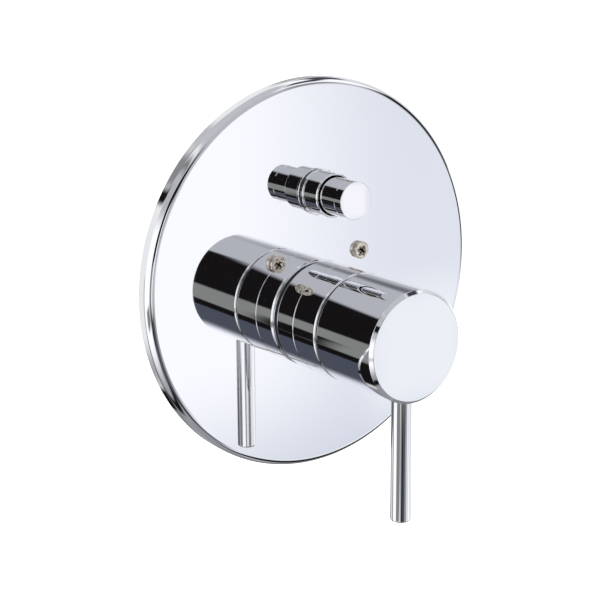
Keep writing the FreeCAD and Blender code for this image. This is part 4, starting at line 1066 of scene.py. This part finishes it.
# What stands in front of the part, seen from it: across and up are distances on a wall one unit away
FRONT_PANELS = (
    Panel("pale right wall", 1.5, -1.1, 1.25, 1.15, 0, 0.16, 0.30, "#DADEE7"),
    Panel("bright window", 0.55, -0.25, 0.20, 0.41, 0, 0.10, 0.12, "#F5F6FA"),
    Panel("bright transom", 0.88, 0.0, 0.16, 0.11, 0, 0.06, 0.07, "#E2E5EA"),
    Panel("dim end", 1.22, -0.10, 0.17, 0.24, 0, 0.05, 0.06, "#A4A7AC"),
    Panel("window sill", 0.76, -0.52, 0.17, 0.08, 0, 0.06, 0.08, "#CACFDB"),
    Panel("bright sill end", 0.86, -0.39, 0.055, 0.055, 0, 0.03, 0.03, "#E8EBF0"),
    Panel("bright spot", 0.786, -0.2525, 0.0125, 0.0135, 0, 0.002, 0.002, "#F0F0F4"),
    Panel("dark end post", 1.28, -0.33, 0.14, 0.10, 0, 0.03, 0.04, "#242426"),
    Panel("dark stand", 0.45, -0.48, 0.035, 0.05, 0, 0.03, 0.03, "#1C1C1E"),
    Panel("dark pole", 0.41, -0.12, 0.02, 0.03, 0, 0.02, 0.02, "#1C1C1E"),
    Panel("right column", 0.79, 0.55, 0.17, 0.15, 0, 0.08, 0.12, "#6A6C72"),
    Panel("slate floor", -0.31, -1.0, 0.44, 0.70, 0, 0.16, 0.04, "#494D59"),
    Panel("black floor", -0.20, -1.65, 0.60, 0.68, 0, 0.10, 0.05, "#141213"),
    Panel("beige cupboard", 0.27, -0.38, 0.19, 0.12, 0, 0.07, 0.05, "#9A9892"),
    Panel("bright left wall", -1.75, 0.22, 0.63, 1.15, 0, 0.05, 0.15, "#F9FAFC"),
    Panel("left shelf", -1.55, -0.62, 0.50, 0.09, 0, 0.05, 0.03, "#7C7E80"),
    Panel("grey door", -0.835, -0.27, 0.265, 0.27, 0, 0.03, 0.04, "#80827F"),
    Panel("door frame", -0.715, -0.37, 0.12, 0.04, -60, 0.02, 0.02, "#141213"),
    Panel("black post", -0.58, -0.52, 0.22, 0.085, 42, 0.03, 0.02, "#141213"),
    Panel("black flag", -0.56, 0.35, 0.45, 0.37, 0, 0.03, 0.03, "#141213"),
    Panel("bright doorway", -0.30, -0.04, 0.09, 0.29, 0, 0.05, 0.05, "#F4F6FA"),
)

# What stands round the part's edge: across is the angle from the right, in hundreds of degrees, and
# up is how far into the wall the direction points
SIDE_PANELS = (
    Panel("pale slope", 0.22, 0.08, 0.20, 0.32, 0, 0.06, 0.06, "#D0D3D8"),
    Panel("slate band", 0.49, 0.50, 0.075, 0.62, 0, 0.03, 0.06, "#414352"),
    Panel("slate band end", 0.57, -0.27, 0.085, 0.19, 0, 0.03, 0.05, "#3A3C4A"),
    Panel("grey ceiling", 0.92, 0, 0.25, 1, 0, 0.04, 0.01, "#B7B9BD"),
    Panel("grey left", 1.43, 0, 0.12, 1, 0, 0.08, 0.01, "#ABADB0"),
    Panel("dim corner", 1.27, 0, 0.05, 1, 0, 0.06, 0.01, "#727476"),
    Panel("dim left", 2.02, -0.27, 0.05, 0.30, 0, 0.02, 0.05, "#7A7B7C"),
    Panel("dim foot", 2.44, 0, 0.19, 1, 0, 0.13, 0.01, "#94969A"),
    Panel("grey floor", 2.67, 0, 0.15, 1, 0, 0.06, 0.01, "#8C8E94"),
    Panel("black seam", 2.45, 0, 0.045, 1, 0, 0.025, 0.01, "#141213"),
    Panel("grey under", 3.05, 0.27, 0.31, 0.34, 0, 0.04, 0.05, "#808285"),
    Panel("dark slope", 3.02, -0.28, 0.29, 0.19, 52, 0.04, 0.05, "#1C1C1E"),
    Panel("dark side seam", 0.12, -0.34, 0.13, 0.27, 0, 0.03, 0.08, "#141213"),
    Panel("pale right side", 3.405, -0.34, 0.04, 0.26, 0, 0.02, 0.05, "#D9DBE0"),
    Panel("dim right", 3.405, -0.13, 0.035, 0.08, 0, 0.02, 0.03, "#BDC0C4"),
    Panel("dark side post", 3.52, -0.45, 0.085, 0.19, 0, 0.02, 0.03, "#1C1C1E"),
)

# What stands behind the part, with across as for the sides
REAR_PANELS = (
    Panel("grey right", 0.23, 0.50, 0.14, 1, 0, 0.08, 0.01, "#A7A9AB"),
    Panel("grey top", 0.96, 0, 0.10, 2, 0, 0.06, 0.01, "#B4B6B8"),
    Panel("dim upper left", 1.22, 0, 0.13, 2, 0, 0.07, 0.01, "#828486"),
    Panel("black upper left", 1.405, 0, 0.05, 2, 0, 0.03, 0.01, "#141213"),
    Panel("grey lower left", 2.51, 0, 0.12, 2, 0, 0.12, 0.01, "#9C9EA0"),
    Panel("grey below", 2.97, 0, 0.17, 2, 0, 0.06, 0.01, "#808284"),
    Panel("black below", 2.73, 0.90, 0.09, 0.12, 0, 0.03, 0.03, "#141213"),
    Panel("grey corner", 2.03, 0.70, 0.17, 0.08, 0, 0.05, 0.02, "#84868A"),
    Panel("black corner", 2.46, 0.70, 0.28, 0.08, 0, 0.05, 0.02, "#141213"),
)

# What each wall shows between its panels, and where the side wall gives way to the front and rear
# walls, by how far into the wall the direction points
FRONT_BASE = "#B0B3B8"
SIDE_BASE = "#F9FAFC"
REAR_BASE = "#E2E3E4"
PANEL_BRIGHTNESS = 1.12
FRONT_FROM, FRONT_FULL = -0.55, -0.65
REAR_FROM, REAR_FULL = 0.52, 0.66
NEAREST_FRONT = 0.2
FULL_TURN = 3.6

# The camera's film in millimetres, and the lamp and floor in metres and watts
FILM_WIDTH = 36
CLIP_START = 0.01
LAMP_PLACE = (-0.35, -0.75, 0.9)
LAMP_SIZE = 0.7
LAMP_WATTS = 6.0
EVEN_LIGHT = "#E6E6E8"
FLOOR_HALF = 8.0
FLOOR_GLOW = 0.75


def panel_share(tree, spot, panel):
    """Return how far a spot, which is (across, up, 1) on a wall, lies inside a soft edged panel."""
    turn = math.radians(panel.turn)
    along = Vector((math.cos(turn), math.sin(turn)))
    over = Vector((-along.y, along.x))
    centre = Vector((panel.across, panel.up))
    halves = panel.half_across, panel.half_up
    softness = panel.soft_across, panel.soft_up
    shares = []
    for axis, half, soft in zip((along, over), halves, softness):
        row = (axis.x, axis.y, -axis.dot(centre))
        offset = add_node(tree, "ShaderNodeVectorMath", {0: spot, 1: row}, operation="DOT_PRODUCT")
        gap = add_node(tree, "ShaderNodeMath", {0: offset.outputs["Value"]}, operation="ABSOLUTE")
        edges = {0: gap, 1: half - soft, 2: half + soft, 3: 1.0, 4: 0.0}
        shares.append(add_node(tree, "ShaderNodeMapRange", edges, interpolation_type="SMOOTHSTEP"))
    return add_node(tree, "ShaderNodeMath", {0: shares[0], 1: shares[1]}, operation="MULTIPLY")


def wall_colour(tree, spot, base, panels):
    """Return a wall's colour at a spot: its base, with each panel laid over those before it."""
    colour = linear(base, PANEL_BRIGHTNESS)
    for panel in panels:
        layers = {
            "Factor_Float": panel_share(tree, spot, panel),
            "A_Color": colour,
            "B_Color": linear(panel.colour, PANEL_BRIGHTNESS),
        }
        colour = add_node(tree, "ShaderNodeMix", layers, data_type="RGBA").outputs[2]
    return colour


def mirrored_studio(tree):
    """Return the colour that chrome mirrors from each direction, from the panels that stand round it."""
    direction = add_node(tree, "ShaderNodeTexCoord").outputs["Generated"]
    x, y, z = add_node(tree, "ShaderNodeSeparateXYZ", {0: direction}).outputs
    toward = add_node(tree, "ShaderNodeMath", {0: y, 1: -1.0}, operation="MULTIPLY")
    depth = add_node(tree, "ShaderNodeMath", {0: toward, 1: NEAREST_FRONT}, operation="MAXIMUM")
    across = add_node(tree, "ShaderNodeMath", {0: x, 1: depth}, operation="DIVIDE")
    up = add_node(tree, "ShaderNodeMath", {0: z, 1: depth}, operation="DIVIDE")
    front_spot = add_node(tree, "ShaderNodeCombineXYZ", {0: across, 1: up, 2: 1.0})
    front = wall_colour(tree, front_spot, FRONT_BASE, FRONT_PANELS)
    turn = add_node(tree, "ShaderNodeMath", {0: z, 1: x}, operation="ARCTAN2")
    hundreds = add_node(tree, "ShaderNodeMath", {0: turn, 1: FULL_TURN / math.tau}, operation="MULTIPLY")
    wrapped = add_node(tree, "ShaderNodeMath", {0: hundreds, 1: FULL_TURN, 2: 0.0}, operation="WRAP")
    round_spot = add_node(tree, "ShaderNodeCombineXYZ", {0: wrapped, 1: y, 2: 1.0})
    colour = wall_colour(tree, round_spot, SIDE_BASE, SIDE_PANELS)
    rear = wall_colour(tree, round_spot, REAR_BASE, REAR_PANELS)
    for start, full, wall in ((FRONT_FROM, FRONT_FULL, front), (REAR_FROM, REAR_FULL, rear)):
        limits = {0: y, 1: start, 2: full}
        share = add_node(tree, "ShaderNodeMapRange", limits, interpolation_type="SMOOTHSTEP")
        layers = {"Factor_Float": share, "A_Color": colour, "B_Color": wall}
        colour = add_node(tree, "ShaderNodeMix", layers, data_type="RGBA").outputs[2]
    return colour


class MIXER_OT_stage(bpy.types.Operator):
    """Make the camera, the light, the studio and the floor"""

    bl_idname = "mixer.stage"
    bl_label = "Camera, light and floor"

    def execute(self, context):
        studio = context.scene.mixer_studio
        context.scene.view_settings.view_transform = "Standard"
        place_camera(context.scene, studio)
        light_studio(context.scene)
        lay_floor(studio)
        return {"FINISHED"}


def place_camera(scene, studio):
    """Set the camera where the picture was taken from."""
    side, rise = studio.azimuth, studio.elevation
    back = Vector((math.sin(side) * math.cos(rise), -math.cos(side) * math.cos(rise), math.sin(rise)))
    level = Vector((math.cos(side), math.sin(side), 0))
    above = back.cross(level)
    across = level * math.cos(studio.roll) + above * math.sin(studio.roll)
    above = back.cross(across)
    aim = Vector((studio.aim_across, 0, studio.aim_up))
    camera = add_object("camera", bpy.data.cameras.new("camera"))
    camera.data.lens = studio.lens
    camera.data.sensor_width = FILM_WIDTH
    camera.data.clip_start = CLIP_START
    turn = Matrix((across, above, back)).transposed().to_4x4()
    camera.matrix_world = Matrix.Translation(aim + back * studio.distance) @ turn
    scene.camera = camera


def light_studio(scene):
    """Set one soft lamp, and a world that is white to the eye and the studio's panels to a mirror."""
    lamp = bpy.data.lights.new("soft_lamp", "AREA")
    lamp.size = LAMP_SIZE
    lamp.energy = LAMP_WATTS
    light = add_object("soft_lamp", lamp)
    light.location = LAMP_PLACE
    light.rotation_euler = (-Vector(LAMP_PLACE)).to_track_quat("-Z", "Y").to_euler()
    light.visible_glossy = False
    world = bpy.data.worlds.new("studio")
    scene.world = world
    world.use_nodes = True
    tree = world.node_tree
    tree.nodes.clear()
    path = add_node(tree, "ShaderNodeLightPath").outputs
    even = linear(EVEN_LIGHT)
    layers = {"Factor_Float": path["Is Glossy Ray"], "A_Color": even, "B_Color": mirrored_studio(tree)}
    seen = add_node(tree, "ShaderNodeMix", layers, data_type="RGBA").outputs[2]
    straight = {0: path["Is Camera Ray"], 1: path["Is Transmission Ray"]}
    plain = add_node(tree, "ShaderNodeMath", straight, operation="MAXIMUM")
    layers = {"Factor_Float": plain, "A_Color": seen, "B_Color": linear("#FFFFFF")}
    backdrop = add_node(tree, "ShaderNodeMix", layers, data_type="RGBA").outputs[2]
    shade = add_node(tree, "ShaderNodeBackground", {0: backdrop})
    add_node(tree, "ShaderNodeOutputWorld", {0: shade})


def lay_floor(studio):
    """Lay a pale floor that looks white but keeps a faint shadow."""
    half = FLOOR_HALF
    mesh = bpy.data.meshes.new("studio_floor")
    corners = [(-half, -half), (half, -half), (half, half), (-half, half)]
    mesh.from_pydata([(x, y, -studio.floor) for x, y in corners], [], [(0, 1, 2, 3)])
    floor = add_object("studio_floor", mesh)
    material, tree, shader, _ = new_finish("white_paper")
    # Matt white paper: it glows enough to stay white in the picture, and only a soft shadow dims it.
    shader.inputs["Base Color"].default_value = linear("#F4F4F4")
    shader.inputs["Roughness"].default_value = 1.0
    shader.inputs["Emission Color"].default_value = linear("#FFFFFF")
    path = add_node(tree, "ShaderNodeLightPath").outputs
    glow = add_node(tree, "ShaderNodeMath", {0: path["Is Camera Ray"], 1: FLOOR_GLOW}, operation="MULTIPLY")
    tree.links.new(glow.outputs[0], shader.inputs["Emission Strength"])
    mesh.materials.append(material)
    floor.visible_glossy = False


class MIXER_PT_panel(bpy.types.Panel):
    """The steps that build the mixer, in order"""

    bl_idname = "MIXER_PT_panel"
    bl_label = "Shower mixer"
    bl_space_type = "VIEW_3D"
    bl_region_type = "UI"
    bl_category = "Shower mixer"

    def draw(self, context):
        column = self.layout.column(align=True)
        for step in STEPS:
            column.operator(step.bl_idname)
        for group_name, group in GROUPS.items():
            box = self.layout.box()
            for name in group.__annotations__:
                box.prop(getattr(context.scene, group_name), name)


STEPS = (
    MIXER_OT_wall_plate,
    MIXER_OT_sleeves,
    MIXER_OT_handle,
    MIXER_OT_diverter_trim,
    MIXER_OT_plate_screws,
    MIXER_OT_valve_body,
    MIXER_OT_return_spring,
    MIXER_OT_inner_parts,
    MIXER_OT_stage,
)
GROUPS = {
    "mixer_trim": MixerTrimSizes,
    "mixer_screws": MixerScrewSizes,
    "mixer_finishes": MixerFinishes,
    "mixer_studio": MixerStudio,
}


def register():
    for group in GROUPS.values():
        bpy.utils.register_class(group)
    for name, group in GROUPS.items():
        setattr(bpy.types.Scene, name, bpy.props.PointerProperty(type=group))
    for step in STEPS:
        bpy.utils.register_class(step)
    bpy.utils.register_class(MIXER_PT_panel)


def unregister():
    bpy.utils.unregister_class(MIXER_PT_panel)
    for step in reversed(STEPS):
        bpy.utils.unregister_class(step)
    for name in GROUPS:
        delattr(bpy.types.Scene, name)
    for group in GROUPS.values():
        bpy.utils.unregister_class(group)


def main():
    """Build every piece and the stage."""
    register()
    for step in STEPS:
        group, name = step.bl_idname.split(".")
        getattr(getattr(bpy.ops, group), name)()


if __name__ == "__main__":
    main()
